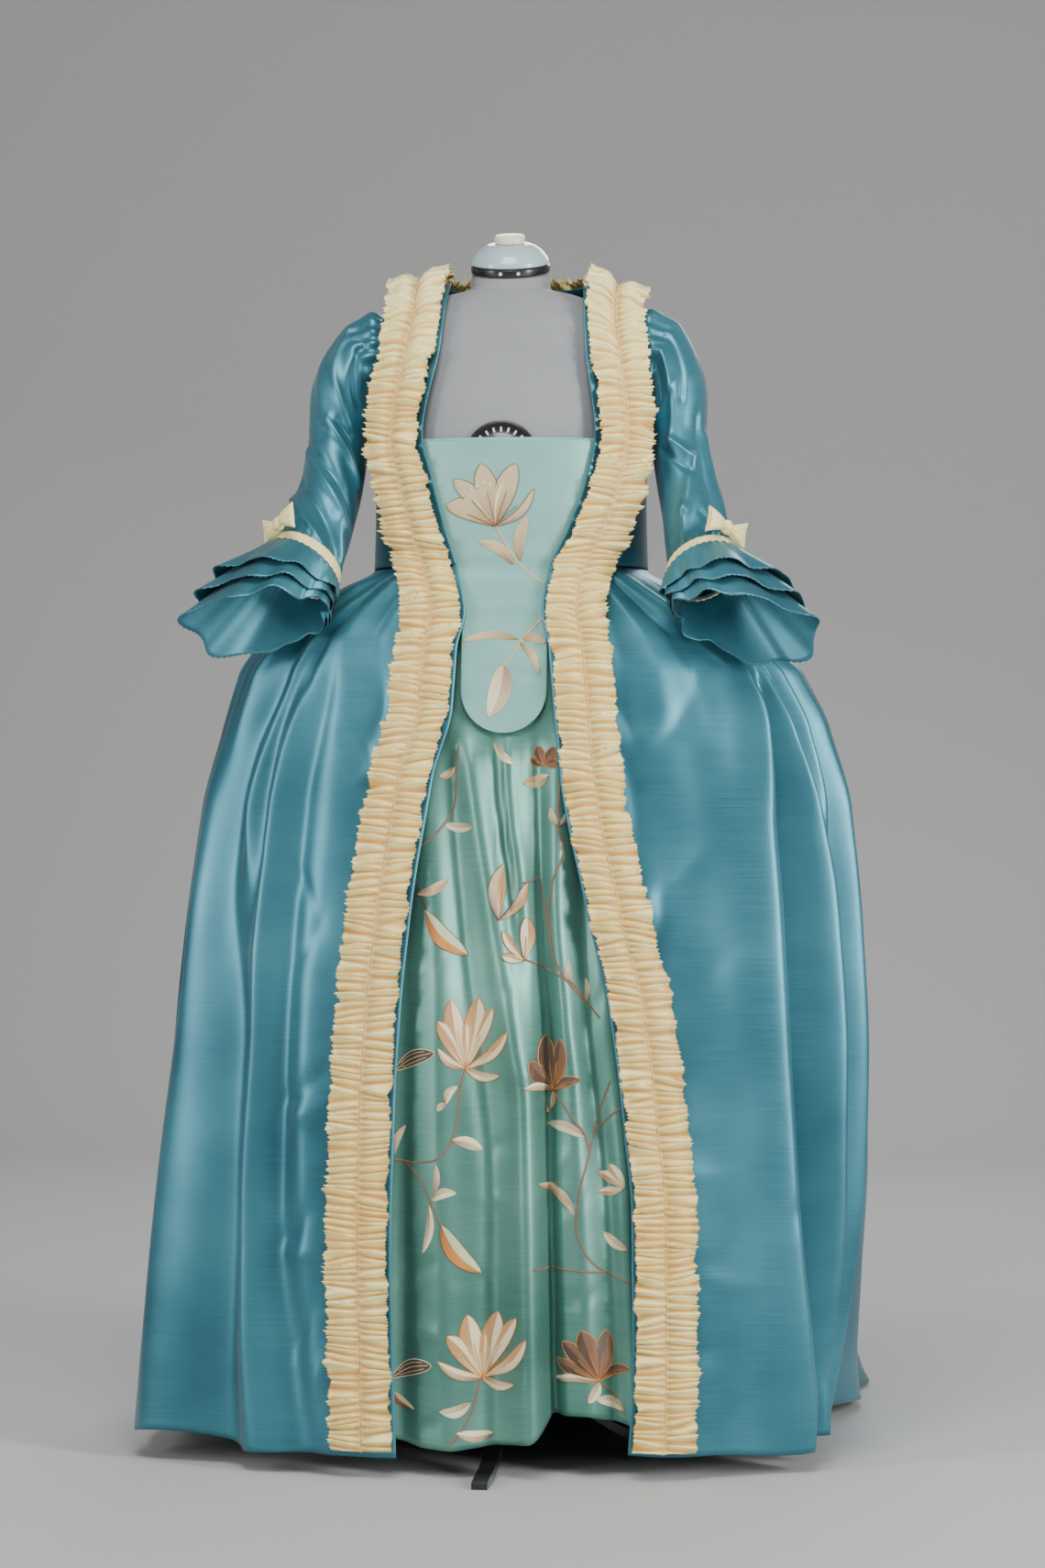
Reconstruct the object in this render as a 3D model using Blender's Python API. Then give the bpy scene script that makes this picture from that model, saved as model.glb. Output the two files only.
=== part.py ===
"""Robe a la francaise, an open gown with stomacher and petticoat, on a limbless dress form.

Metres, +Z up, the wearer's front towards -Y. Every surface round the body is found from a
"station", an angle round the upright axis (0 at centre front, 90 at the +X side, 180 at centre
back), and a height above the floor. The origin ends up on the floor under the middle of the model.
"""
import math

import bmesh
import bpy
from mathutils import Vector

# Driving dimensions
CLOTH = 0.0016           # thickness of a cloth wall
SEAM = 0.0008            # space between two panels that are sewn together
WAIST_Z = 1.085          # waist seam at the sides
NECK_Z = 1.438           # top of the shoulder seam
FRONT_HEM_Z = 0.030      # hem at the front and sides
TRAIN_HEM_Z = 0.004      # hem of the train, just off the floor
TRIM_WIDTH = 0.074       # ruched trim, edge to edge
TRIM_INSET = 0.003       # from the gown's front edge to the trim
TRIM_LIFT = 0.0052       # outer face of the trim above the gown
SHOULDER_TRIM_LIFT = 0.0150   # and over the shoulder
NECK_TRIM_LIFT = 0.0240       # and across the back of the neck
TRIM_THICK = 0.0028      # gathered silk and its air
SACK_STATION = 48.0      # half the sack back, in degrees from centre back
STOMACHER_TOP_Z = 1.238
STOMACHER_TIP_Z = 0.884
STAND_REACH = 0.258      # from the pole to the tip of a foot
STAND_TURN = -3.0        # degrees that the front foot is turned

# Gown, neck to hem: half widths at the left, the right and the rear half, depth in front and
# behind, and how square the plan is (2 is an ellipse)
GOWN_COLUMNS = ("z", "left", "right", "rear", "front", "back", "square")
GOWN = (
    (1.446, 0.070, 0.070, 0.070, 0.028, 0.050, 2.3),
    (1.438, 0.094, 0.096, 0.094, 0.040, 0.060, 2.3),
    (1.425, 0.125, 0.127, 0.125, 0.058, 0.075, 2.3),
    (1.400, 0.154, 0.156, 0.154, 0.080, 0.094, 2.3),
    (1.360, 0.163, 0.165, 0.163, 0.102, 0.106, 2.3),
    (1.300, 0.166, 0.168, 0.166, 0.128, 0.113, 2.3),
    (1.240, 0.166, 0.168, 0.166, 0.139, 0.112, 2.3),
    (1.160, 0.166, 0.168, 0.166, 0.134, 0.108, 2.3),
    (1.085, 0.168, 0.170, 0.168, 0.126, 0.112, 2.3),
    (1.065, 0.206, 0.202, 0.196, 0.128, 0.135, 2.3),
    (1.030, 0.268, 0.262, 0.250, 0.130, 0.165, 2.3),
    (0.995, 0.314, 0.316, 0.295, 0.134, 0.190, 2.3),
    (0.955, 0.339, 0.360, 0.328, 0.140, 0.212, 2.3),
    (0.890, 0.359, 0.390, 0.355, 0.149, 0.237, 2.3),
    (0.790, 0.385, 0.416, 0.390, 0.163, 0.268, 2.3),
    (0.650, 0.405, 0.428, 0.420, 0.179, 0.310, 2.3),
    (0.500, 0.422, 0.434, 0.445, 0.191, 0.358, 2.4),
    (0.350, 0.438, 0.430, 0.462, 0.200, 0.415, 2.5),
    (0.200, 0.452, 0.416, 0.466, 0.206, 0.490, 2.7),
    (0.100, 0.461, 0.403, 0.472, 0.209, 0.565, 3.0),
    (0.030, 0.465, 0.393, 0.492, 0.211, 0.650, 3.2),
    (0.004, 0.466, 0.391, 0.505, 0.212, 0.690, 3.2),
)

# Front edges of the gown: a robing runs down each, so they swing in at the waist
EDGE_COLUMNS = ("z", "left", "right")
EDGES = (
    (1.446, 0.070, 0.092),
    (1.360, 0.076, 0.098),
    (1.243, 0.096, 0.112),
    (1.190, 0.084, 0.102),
    (1.129, 0.068, 0.080),
    (1.076, 0.052, 0.056),
    (1.030, 0.043, 0.049),
    (0.985, 0.053, 0.058),
    (0.917, 0.057, 0.064),
    (0.830, 0.080, 0.073),
    (0.664, 0.104, 0.106),
    (0.555, 0.115, 0.133),
    (0.447, 0.121, 0.147),
    (0.300, 0.124, 0.160),
    (0.120, 0.119, 0.161),
    (0.004, 0.117, 0.156),
)

# Folds of the gown's skirt: ridges are positive, troughs negative
FOLD_COLUMNS = ("station", "spread", "at_hip", "at_hem")
FOLDS = (
    (-80.0, 5.0, -0.002, -0.012),
    (-63.0, 7.0, 0.004, 0.010),
    (-50.0, 4.5, -0.010, -0.024),
    (-42.0, 3.5, 0.003, 0.014),
    (-34.5, 3.5, -0.004, -0.013),
    (52.0, 5.0, 0.004, 0.014),
    (63.0, 4.5, 0.008, 0.018),
    (72.0, 4.5, -0.014, -0.028),
    (80.0, 4.0, 0.004, 0.012),
    (93.0, 5.5, -0.006, -0.034),
    (106.0, 6.0, 0.006, 0.014),
    (119.0, 5.0, -0.006, -0.022),
    (130.0, 5.0, 0.004, 0.024),
    (147.0, 5.0, -0.004, -0.026),
    (162.0, 6.0, 0.004, 0.020),
    (175.0, 5.0, -0.004, -0.024),
    (191.0, 6.0, 0.004, 0.022),
    (207.0, 5.0, -0.004, -0.028),
    (222.0, 5.0, 0.004, 0.018),
    (234.0, 5.0, -0.006, -0.024),
    (246.0, 6.0, 0.006, 0.018),
    (260.0, 5.0, -0.006, -0.022),
)

# How far the sack back stands off the fitted bodice, at its centre
HANG_COLUMNS = ("z", "off")
HANG = (
    (1.446, 0.008),
    (1.400, 0.014),
    (1.300, 0.040),
    (1.200, 0.066),
    (1.085, 0.084),
    (1.030, 0.044),
    (0.955, 0.012),
    (0.850, 0.000),
    (0.004, 0.000),
)

# Petticoat, clear inside the gown
PETTICOAT_COLUMNS = ("z", "half", "front", "back", "square")
PETTICOAT = (
    (1.072, 0.152, 0.116, 0.104, 2.3),
    (1.030, 0.215, 0.118, 0.128, 2.3),
    (0.990, 0.272, 0.121, 0.148, 2.3),
    (0.940, 0.304, 0.128, 0.166, 2.3),
    (0.850, 0.332, 0.142, 0.190, 2.3),
    (0.700, 0.352, 0.160, 0.222, 2.3),
    (0.500, 0.358, 0.178, 0.262, 2.3),
    (0.300, 0.356, 0.189, 0.300, 2.3),
    (0.034, 0.348, 0.196, 0.330, 2.3),
)

# The petticoat's hem: it swings up on the right of the middle, where a deep fold falls back
PETTICOAT_HEM_COLUMNS = ("x", "z")
PETTICOAT_HEM = (
    (-0.36, 0.036),
    (-0.13, 0.046),
    (-0.09, 0.036),
    (-0.05, 0.034),
    (0.045, 0.046),
    (0.066, 0.076),
    (0.110, 0.076),
    (0.160, 0.064),
    (0.220, 0.044),
    (0.360, 0.036),
)

# Lengthwise folds of the petticoat where it shows, at their sideways place at the top and hem
PLEAT_COLUMNS = ("x_top", "x_hem", "spread_top", "spread_hem", "at_top", "at_hem")
PLEATS = (
    (-0.070, -0.085, 0.014, 0.022, 0.002, 0.006),
    (-0.034, 0.052, 0.016, 0.030, 0.006, 0.016),
    (0.050, 0.066, 0.012, 0.010, -0.007, -0.014),
    (0.074, 0.105, 0.010, 0.020, 0.004, 0.008),
)
PLEATS_TOP_Z = 0.890

# Dress form: plain turned torso, closed at both ends
TORSO_COLUMNS = ("z", "half", "front", "back")
TORSO = (
    (1.439, 0.046, 0.040, 0.045),
    (1.431, 0.052, 0.043, 0.050),
    (1.423, 0.083, 0.050, 0.062),
    (1.409, 0.118, 0.062, 0.077),
    (1.383, 0.141, 0.080, 0.090),
    (1.340, 0.148, 0.101, 0.098),
    (1.280, 0.153, 0.119, 0.101),
    (1.220, 0.154, 0.125, 0.100),
    (1.160, 0.152, 0.120, 0.096),
    (1.085, 0.140, 0.108, 0.094),
    (1.000, 0.144, 0.106, 0.104),
    (0.920, 0.150, 0.108, 0.110),
    (0.860, 0.150, 0.104, 0.108),
)

# Sleeves, armhole to elbow: middle of each ring and its half sizes
SLEEVE_COLUMNS = ("x", "y", "z", "half_high", "half_deep", "lean")
SLEEVE_LEFT = (
    (-0.157, 0.004, 1.346, 0.052, 0.043, 0.0),
    (-0.190, 0.002, 1.343, 0.061, 0.048, 16.0),
    (-0.209, -0.004, 1.305, 0.050, 0.054, 50.0),
    (-0.213, -0.014, 1.252, 0.038, 0.054, 80.0),
    (-0.216, -0.036, 1.198, 0.038, 0.050, 84.0),
    (-0.224, -0.068, 1.148, 0.041, 0.047, 74.0),
    (-0.234, -0.098, 1.108, 0.043, 0.044, 64.0),
    (-0.241, -0.126, 1.080, 0.041, 0.042, 58.0),
)
SLEEVE_RIGHT = (
    (0.159, 0.004, 1.346, 0.052, 0.043, 0.0),
    (0.193, 0.002, 1.344, 0.060, 0.048, 16.0),
    (0.209, -0.004, 1.302, 0.046, 0.054, 50.0),
    (0.210, -0.014, 1.245, 0.034, 0.054, 80.0),
    (0.218, -0.036, 1.190, 0.036, 0.050, 78.0),
    (0.230, -0.068, 1.140, 0.039, 0.047, 72.0),
    (0.238, -0.098, 1.100, 0.041, 0.044, 66.0),
    (0.243, -0.128, 1.074, 0.040, 0.042, 62.0),
)
BAND_LIFT = 0.0045       # gold band above the sleeve
BOW_ANGLE = -35.0        # where the bow sits, degrees forward of the outside of the elbow

# Flounces from the longest, which lies inside, to the shortest
TIER_COLUMNS = ("lift", "outside", "inside", "flare")
TIERS = (
    (0.0040, 0.128, 0.034, 0.46),
    (0.0080, 0.096, 0.026, 0.53),
    (0.0120, 0.064, 0.018, 0.64),
)
TIER_WAVES = 5           # soft waves round a flounce
TIER_WAVE_HEIGHT = 0.0055
# A wing of a bow, from the knot out
WING_COLUMNS = ("out", "half_high", "half_deep")
WING = (
    (0.008, 0.0050, 0.0030),
    (0.020, 0.0125, 0.0055),
    (0.034, 0.0170, 0.0040),
)


def colour_from_display(red, green, blue):
    """Scene-linear colour from display values out of 255."""
    return tuple((value / 255.0) ** 2.2 for value in (red, green, blue)) + (1.0,)


TEAL = ("teal_taffeta", colour_from_display(62, 140, 158), 0.38, 0.25)
GOLD = ("gold_silk", colour_from_display(226, 190, 122), 0.50, 0.10)
SEAFOAM = ("seafoam_satin", colour_from_display(140, 190, 182), 0.45, 0.10)
GREEN = ("green_taffeta", colour_from_display(84, 142, 122), 0.42, 0.20)
GREY = ("grey_jersey", colour_from_display(140, 143, 146), 0.80, 0.0)
PALE = ("pale_cap", colour_from_display(185, 205, 210), 0.25, 0.0)
CREAM = ("cream_knob", colour_from_display(236, 232, 205), 0.35, 0.0)
BLACK = ("black_metal", colour_from_display(22, 22, 24), 0.35, 0.30)


def remove_scene_objects():
    for item in list(bpy.data.objects):
        bpy.data.objects.remove(item, do_unlink=True)


def surface_material(finish):
    name, colour, roughness, metallic = finish
    found = bpy.data.materials.get(name)
    if found:
        return found
    made = bpy.data.materials.new(name)
    made.use_nodes = True
    shader = made.node_tree.nodes["Principled BSDF"]
    shader.inputs["Base Color"].default_value = colour
    shader.inputs["Roughness"].default_value = roughness
    shader.inputs["Metallic"].default_value = metallic
    return made


# ---------------------------------------------------------------- tables and surfaces

def table_row(columns, table, z):
    """The row of a table at height z, on a smooth curve through its rows."""
    rows = sorted(table)
    z = min(max(z, rows[0][0]), rows[-1][0])
    upper = next(index for index in range(1, len(rows)) if z <= rows[index][0])
    low, high = rows[upper - 1], rows[upper]
    before = rows[max(upper - 2, 0)]
    after = rows[min(upper + 1, len(rows) - 1)]
    span = high[0] - low[0]
    part = (z - low[0]) / span
    values = {}
    for index, name in enumerate(columns):
        chord = (high[index] - low[index]) / span
        rise_low = slope_between(before, low, index, chord)
        rise_high = slope_between(high, after, index, chord)
        bend = part * part * (3.0 - 2.0 * part)
        values[name] = (low[index] + (high[index] - low[index]) * bend
                        + span * part * (1.0 - part) * (rise_low * (1.0 - part) - rise_high * part))
    return values


def slope_between(first, second, index, chord):
    """A slope at a table row that never overshoots: the gentler of its two chords, or none."""
    if first is second or second[0] == first[0]:
        return chord
    other = (second[index] - first[index]) / (second[0] - first[0])
    if other * chord <= 0.0:
        return 0.0
    return math.copysign(min(abs(other), abs(chord)), chord)


def smooth_step(low, high, value):
    part = min(max((value - low) / (high - low), 0.0), 1.0)
    return part * part * (3.0 - 2.0 * part)


def mix(first, second, part):
    return first + (second - first) * part


def plan_point(station, half, depth, square):
    """A point of a squared ellipse in plan, as x and y."""
    turn = math.radians(station)
    power = 2.0 / square
    x = math.copysign(abs(math.sin(turn)) ** power, math.sin(turn)) * half
    y = -math.copysign(abs(math.cos(turn)) ** power, math.cos(turn)) * depth
    return x, y


def wrapped(station):
    """The station between -90 and 270."""
    return (station + 90.0) % 360.0 - 90.0


def fold_height(station, z):
    """Height of the skirt's folds above its plain surface."""
    if z >= WAIST_Z:
        return 0.0
    down = smooth_step(WAIST_Z, 0.10, z)
    start = smooth_step(WAIST_Z, WAIST_Z - 0.12, z)
    total = 0.0
    for row in FOLDS:
        fold = dict(zip(FOLD_COLUMNS, row))
        away = (wrapped(station) - fold["station"]) / fold["spread"]
        total += mix(fold["at_hip"], fold["at_hem"], down) * start * math.exp(-away * away)
    return total


def gown_point(station, z):
    """Outer face of the gown."""
    row = table_row(GOWN_COLUMNS, GOWN, z)
    place = wrapped(station)
    behind = place > 90.0
    side = row["left"] if place < 0.0 or place > 180.0 else row["right"]
    square = row["square"] if behind else 2.3
    rearward = 0.0
    if behind:
        rearward = smooth_step(90.0, 132.0, place if place <= 180.0 else 360.0 - place)
    half = mix(side, row["rear"], rearward)
    depth = row["back"] if behind else row["front"]
    x, y = plan_point(station, half, depth, square)
    reach = math.hypot(x, y)
    grow = 1.0 + fold_height(station, z) / reach
    return Vector((x * grow, y * grow, z))


def sack_point(station, z):
    """Outer face of the sack back, which hangs from the neck clear of the bodice."""
    off = table_row(HANG_COLUMNS, HANG, z)["off"]
    away = min(abs(wrapped(station) - 180.0) / SACK_STATION, 1.0)
    bulge = 1.0 - smooth_step(0.35, 1.0, away)
    point = gown_point(station, z)
    pleat = box_pleat(wrapped(station) - 180.0, z)
    outward = Vector((point.x, point.y, 0.0)).normalized()
    return point + outward * (off * bulge + pleat)


def box_pleat(across, z):
    """Two box pleats each side of centre back, crisp at the neck and gone by the hip."""
    if abs(across) >= SACK_STATION - 2.0:
        return 0.0
    raised = abs(math.sin(math.radians(across * 7.5))) > 0.5
    fade = smooth_step(0.70, 1.30, z)
    return 0.006 * fade if raised else 0.0


def petticoat_point(station, z):
    row = table_row(PETTICOAT_COLUMNS, PETTICOAT, z)
    depth = row["front"] if math.cos(math.radians(station)) > 0.0 else row["back"]
    x, y = plan_point(station, row["half"], depth, row["square"])
    if y < 0.0 and z < PLEATS_TOP_Z:
        y -= pleat_height(x, z)
    return Vector((x, y, z))


def pleat_height(x, z):
    down = (PLEATS_TOP_Z - z) / PLEATS_TOP_Z
    start = smooth_step(PLEATS_TOP_Z, PLEATS_TOP_Z - 0.06, z)
    total = 0.0
    for row in PLEATS:
        pleat = dict(zip(PLEAT_COLUMNS, row))
        middle = mix(pleat["x_top"], pleat["x_hem"], down ** 0.75)
        away = (x - middle) / mix(pleat["spread_top"], pleat["spread_hem"], down)
        total += mix(pleat["at_top"], pleat["at_hem"], down) * math.exp(-away * away)
    return total * start


def torso_point(station, z):
    row = table_row(TORSO_COLUMNS, TORSO, z)
    depth = row["front"] if math.cos(math.radians(station)) > 0.0 else row["back"]
    x, y = plan_point(station, row["half"], depth, 2.3)
    return Vector((x, y, z))


def lifted(surface, station, z, lift):
    """A point moved out from a surface, square to it."""
    step = 0.5
    rise = 0.002
    across = surface(station + step, z) - surface(station - step, z)
    upward = surface(station, z + rise) - surface(station, z - rise)
    return surface(station, z) + across.cross(upward).normalized() * lift


def station_at(surface, x, z):
    """The front station at which a surface has the sideways place x."""
    low, high = -89.5, 89.5
    for _ in range(40):
        middle = (low + high) / 2.0
        if surface(middle, z).x < x:
            low = middle
        else:
            high = middle
    return (low + high) / 2.0


# ---------------------------------------------------------------- meshes

def finished(name, mesh, finish, smooth_angle=50.0):
    body = bpy.data.objects.new(name, mesh)
    bpy.context.scene.collection.objects.link(body)
    mesh.materials.append(surface_material(finish))
    mesh.shade_smooth()
    mesh.set_sharp_from_angle(angle=math.radians(smooth_angle))
    return body


def cloth_panel(name, rows, finish, thickness=CLOTH, closed=False):
    """A wall of cloth through rows of points, which run down and to the right seen from outside.

    The rows lie on the outer face. A closed panel joins its last column to its first.
    """
    work = bmesh.new()
    grid = [[work.verts.new(point) for point in row] for row in rows]
    columns = len(rows[0])
    last = columns if closed else columns - 1
    for upper, lower in zip(grid, grid[1:]):
        for left in range(last):
            right = (left + 1) % columns
            work.faces.new((upper[left], lower[left], lower[right], upper[right]))
    mesh = bpy.data.meshes.new(name)
    work.to_mesh(mesh)
    work.free()
    body = finished(name, mesh, finish)
    wall = body.modifiers.new("wall", "SOLIDIFY")
    wall.thickness = thickness
    wall.offset = -1.0
    return body


def closed_loft(name, rings, finish, smooth_angle=50.0):
    """A solid skinned over rings of points that run left to right, top ring first."""
    work = bmesh.new()
    loops = []
    for ring in rings:
        corners = [work.verts.new(point) for point in ring]
        edges = [work.edges.new((corners[i], corners[(i + 1) % len(corners)]))
                 for i in range(len(corners))]
        loops.append(edges)
    for first, second in zip(loops, loops[1:]):
        bmesh.ops.bridge_loops(work, edges=first + second)
    bmesh.ops.holes_fill(work, edges=loops[0] + loops[-1])
    bmesh.ops.recalc_face_normals(work, faces=work.faces)
    mesh = bpy.data.meshes.new(name)
    work.to_mesh(mesh)
    work.free()
    return finished(name, mesh, finish, smooth_angle)


def spread(first, last, count):
    """Evenly spaced values from first to last."""
    return [mix(first, last, index / (count - 1)) for index in range(count)]


# ---------------------------------------------------------------- gown

SKIRT_LEVELS = (1.084, 1.066, 1.040, 1.008, 0.970, 0.910, 0.820, 0.690,
                0.540, 0.390, 0.240, 0.120, 0.030)
BODICE_LEVELS = (NECK_Z, 1.427, 1.409, 1.385, 1.355, 1.325, 1.295, 1.266, 1.225, 1.180, 1.130,
                 WAIST_Z + SEAM)
SIDES = (("left", -1.0), ("right", 1.0))


def hem_height(station):
    """Height of the hem, which drops from the sides to the train."""
    behind = abs(wrapped(station) - 180.0)
    return mix(TRAIN_HEM_Z, FRONT_HEM_Z, smooth_step(62.0, 92.0, behind))


def skirt_height(station, level):
    """A skirt row's height at a station: the rows spread down to the hem there."""
    top, bottom = SKIRT_LEVELS[0], SKIRT_LEVELS[-1]
    return mix(top, hem_height(station), (top - level) / (top - bottom))


def edge_station(sign, z, inward):
    """Station of a line that runs down a gown front, this far in from its edge."""
    edge = table_row(EDGE_COLUMNS, EDGES, z)
    reach = (edge["left"] if sign < 0.0 else edge["right"]) + inward
    widest = abs(gown_point(sign * 89.0, z).x) - 0.003
    return station_at(gown_point, sign * min(reach, widest), z)


def armhole_station(z):
    """Station of a bodice panel's side line, which bows in round the armhole."""
    middle, half = 1.338, 0.072
    if abs(z - middle) >= half:
        return 89.7
    return 89.7 - 37.0 * math.sqrt(1.0 - ((z - middle) / half) ** 2)


def trim_stations(sign, z):
    """Stations of the trim's inner edge, its stitched middle and its outer edge."""
    return [edge_station(sign, z, TRIM_INSET + TRIM_WIDTH * part) for part in (0.0, 0.5, 1.0)]


def front_stations(sign, z, side_station, count):
    """Stations across a gown front: its edge, the trim's three lines, then on to the side."""
    trim = trim_stations(sign, z)
    beyond = spread(trim[-1], sign * side_station, count)[1:]
    return [edge_station(sign, z, 0.0)] + trim + beyond


def left_to_right(sign, line):
    return line if sign > 0.0 else line[::-1]


def build_bodice():
    for side, sign in SIDES:
        rows = []
        for z in BODICE_LEVELS:
            stations = spread(edge_station(sign, z, 0.0), sign * armhole_station(z), 8)
            stations = left_to_right(sign, stations)
            rows.append([gown_point(station, z) for station in stations])
        cloth_panel("bodice_front_" + side, rows, TEAL)
    rows = []
    for z in BODICE_LEVELS:
        first = 180.6 - armhole_station(z)
        rows.append([gown_point(station, z) for station in spread(first, 360.0 - first, 13)])
    cloth_panel("bodice_back", rows, TEAL)


def build_skirt():
    sack = 180.0 - SACK_STATION
    for side, sign in SIDES:
        rows = []
        for level in SKIRT_LEVELS:
            stations = left_to_right(sign, front_stations(sign, level, 87.5, 10))
            rows.append([gown_point(station, skirt_height(station, level)) for station in stations])
        cloth_panel("skirt_front_" + side, rows, TEAL)
        side_line = spread(87.8, sack - 0.3, 8)
        if sign < 0.0:
            side_line = [360.0 - station for station in side_line[::-1]]
        rows = [[gown_point(station, skirt_height(station, level)) for station in side_line]
                for level in SKIRT_LEVELS]
        cloth_panel("skirt_side_" + side, rows, TEAL)


def sack_lift(level):
    """The sack back lies over the bodice, and is level with the skirt below it."""
    return 0.007 * smooth_step(WAIST_Z - 0.02, WAIST_Z, level)


def build_sack_back():
    stations = spread(180.0 - SACK_STATION, 180.0 + SACK_STATION, 17)
    rows = []
    for level in (1.426, 1.385, 1.310, 1.220, 1.130) + SKIRT_LEVELS:
        row = []
        for station in stations:
            z = skirt_height(station, level) if level <= SKIRT_LEVELS[0] else level
            row.append(lifted(sack_point, station, z, sack_lift(level)))
        rows.append(row)
    cloth_panel("sack_back", rows, TEAL)


# ---------------------------------------------------------------- trimming

def shoulder_point(x, y):
    """The gown's surface over the shoulder, found from its place in plan."""
    low, high = 1.30, 1.446
    for _ in range(30):
        z = (low + high) / 2.0
        row = table_row(GOWN_COLUMNS, GOWN, z)
        half = row["left"] if x < 0.0 else row["right"]
        depth = row["front"] if y < 0.0 else row["back"]
        inside = (abs(x) / half) ** 2.3 + (abs(y) / depth) ** 2.3 < 1.0
        low, high = (z, high) if inside else (low, z)
    return Vector((x, y, low))


def trim_row(sign, z):
    """The trim's three lines at a height. Over the chest it stands flat, proud of the side."""
    on_gown = [lifted(gown_point, station, z, TRIM_LIFT) for station in trim_stations(sign, z)]
    first = trim_stations(sign, z)[0]
    along = gown_point(first + sign * 1.0, z) - gown_point(first, z)
    along = Vector((along.x, along.y * 0.75, 0.0)).normalized()
    flat = mix(0.25, 1.0, smooth_step(1.00, 1.24, z))
    row = []
    for part, point in zip((0.0, 0.5, 1.0), on_gown):
        straight = on_gown[0] + along * TRIM_WIDTH * part - Vector((0.0, 0.005 * part, 0.0))
        row.append(point.lerp(straight, flat))
    return left_to_right(sign, row)


def shoulder_trim_row(sign, y):
    edge = table_row(EDGE_COLUMNS, EDGES, NECK_Z)
    inner = (edge["left"] if sign < 0.0 else edge["right"]) + TRIM_INSET
    middle = shoulder_point(sign * (inner + TRIM_WIDTH * 0.5), y)
    row = []
    for part in (0.0, 0.5, 1.0):
        x = sign * (inner + TRIM_WIDTH * part)
        z = max(shoulder_point(x, y).z, middle.z - 0.010)
        row.append(Vector((x, y, z + SHOULDER_TRIM_LIFT)))
    return left_to_right(sign, row)


def build_trims():
    chest = BODICE_LEVELS[4:] + SKIRT_LEVELS[1:-1] + (SKIRT_LEVELS[-1] + 0.004,)
    for side, sign in SIDES:
        rows = [shoulder_trim_row(sign, y) for y in (0.034, 0.012, -0.010, -0.030, -0.048, -0.064)]
        rows += [trim_row(sign, z) for z in chest]
        cloth_panel("trim_" + side, rows, GOLD, TRIM_THICK)
    rows = []
    for z in (1.434, 1.416, 1.394):
        stations = spread(124.0, 236.0, 13)
        rows.append([lifted(sack_point, station, z, NECK_TRIM_LIFT) for station in stations])
    cloth_panel("trim_neck", rows, GOLD, TRIM_THICK)


# ---------------------------------------------------------------- petticoat and stomacher

def build_petticoat():
    levels = (1.072, 1.040, 0.995, 0.940, 0.880, 0.780, 0.620, 0.420, 0.200, 0.034)
    middle = [math.degrees(math.asin(part)) for part in spread(-0.42, 0.42, 15)]
    front = [-88.0, -66.0, -45.0] + middle + [45.0, 66.0, 88.0]
    rows = [[petticoat_point(station, z) for station in front] for z in levels[:-1]]
    hem = []
    for station in front:
        x = petticoat_point(station, levels[-1]).x
        z = table_row(PETTICOAT_HEM_COLUMNS, PETTICOAT_HEM, x)["z"]
        hem.append(petticoat_point(station, z))
    cloth_panel("petticoat_front", rows + [hem], GREEN)
    behind = spread(88.6, 271.4, 11)
    rows = [[petticoat_point(station, z) for station in behind] for z in levels]
    cloth_panel("petticoat_back", rows, GREEN)


def stomacher_half_width(z):
    """Half its width: wide at the chest, drawn in to the waist, with a rounded tip."""
    tip_radius = 0.052
    if z < STOMACHER_TIP_Z + tip_radius:
        up = (z - STOMACHER_TIP_Z) / tip_radius
        return max(tip_radius * math.sqrt(max(1.0 - (1.0 - up) ** 2, 0.0)), 0.004)
    return tip_radius + 0.062 * smooth_step(1.02, STOMACHER_TOP_Z, z)


def build_stomacher():
    levels = (STOMACHER_TOP_Z, 1.190, 1.140, 1.090, 1.040, 0.990, 0.936,
              0.912, 0.894, STOMACHER_TIP_Z)
    rows = []
    for z in levels:
        half = stomacher_half_width(z)
        row = []
        for part in spread(-1.0, 1.0, 9):
            station = station_at(gown_point, 0.004 + half * part, z)
            row.append(lifted(gown_point, station, z, -0.0055))
        rows.append(row)
    cloth_panel("stomacher", rows, SEAFOAM)


# ---------------------------------------------------------------- sleeves

def sleeve_frames(table):
    """Each ring's middle, its two directions, its half sizes and the way the sleeve runs."""
    rows = [dict(zip(SLEEVE_COLUMNS, row)) for row in table]
    middles = [Vector((row["x"], row["y"], row["z"])) for row in rows]
    sign = math.copysign(1.0, rows[0]["x"])
    frames = []
    for index, row in enumerate(rows):
        ahead = middles[min(index + 1, len(rows) - 1)]
        forward = (ahead - middles[max(index - 1, 0)]).normalized().y if index else 0.0
        lean = math.radians(row["lean"])
        along = Vector((sign * math.cos(lean), forward, -math.sin(lean))).normalized()
        deep = Vector((0.0, 1.0, 0.0))
        deep = (deep - along * deep.dot(along)).normalized()
        high = deep.cross(along) * -sign
        frames.append((middles[index], deep, high, row["half_deep"], row["half_high"], along))
    return frames


def ring_point(frame, angle, lift=0.0, forward=0.0):
    """A point round a sleeve ring: angle 0 lies outside the elbow, 90 behind it."""
    middle, deep, high, half_deep, half_high, along = frame
    turn = math.radians(angle)
    outward = high * math.cos(turn) * (half_high + lift) + deep * math.sin(turn) * (half_deep + lift)
    return middle + outward + along * forward


def around(sign, count):
    """Angles round a sleeve, running to the right seen from outside."""
    return [sign * 360.0 * index / count for index in range(count)]


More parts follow.
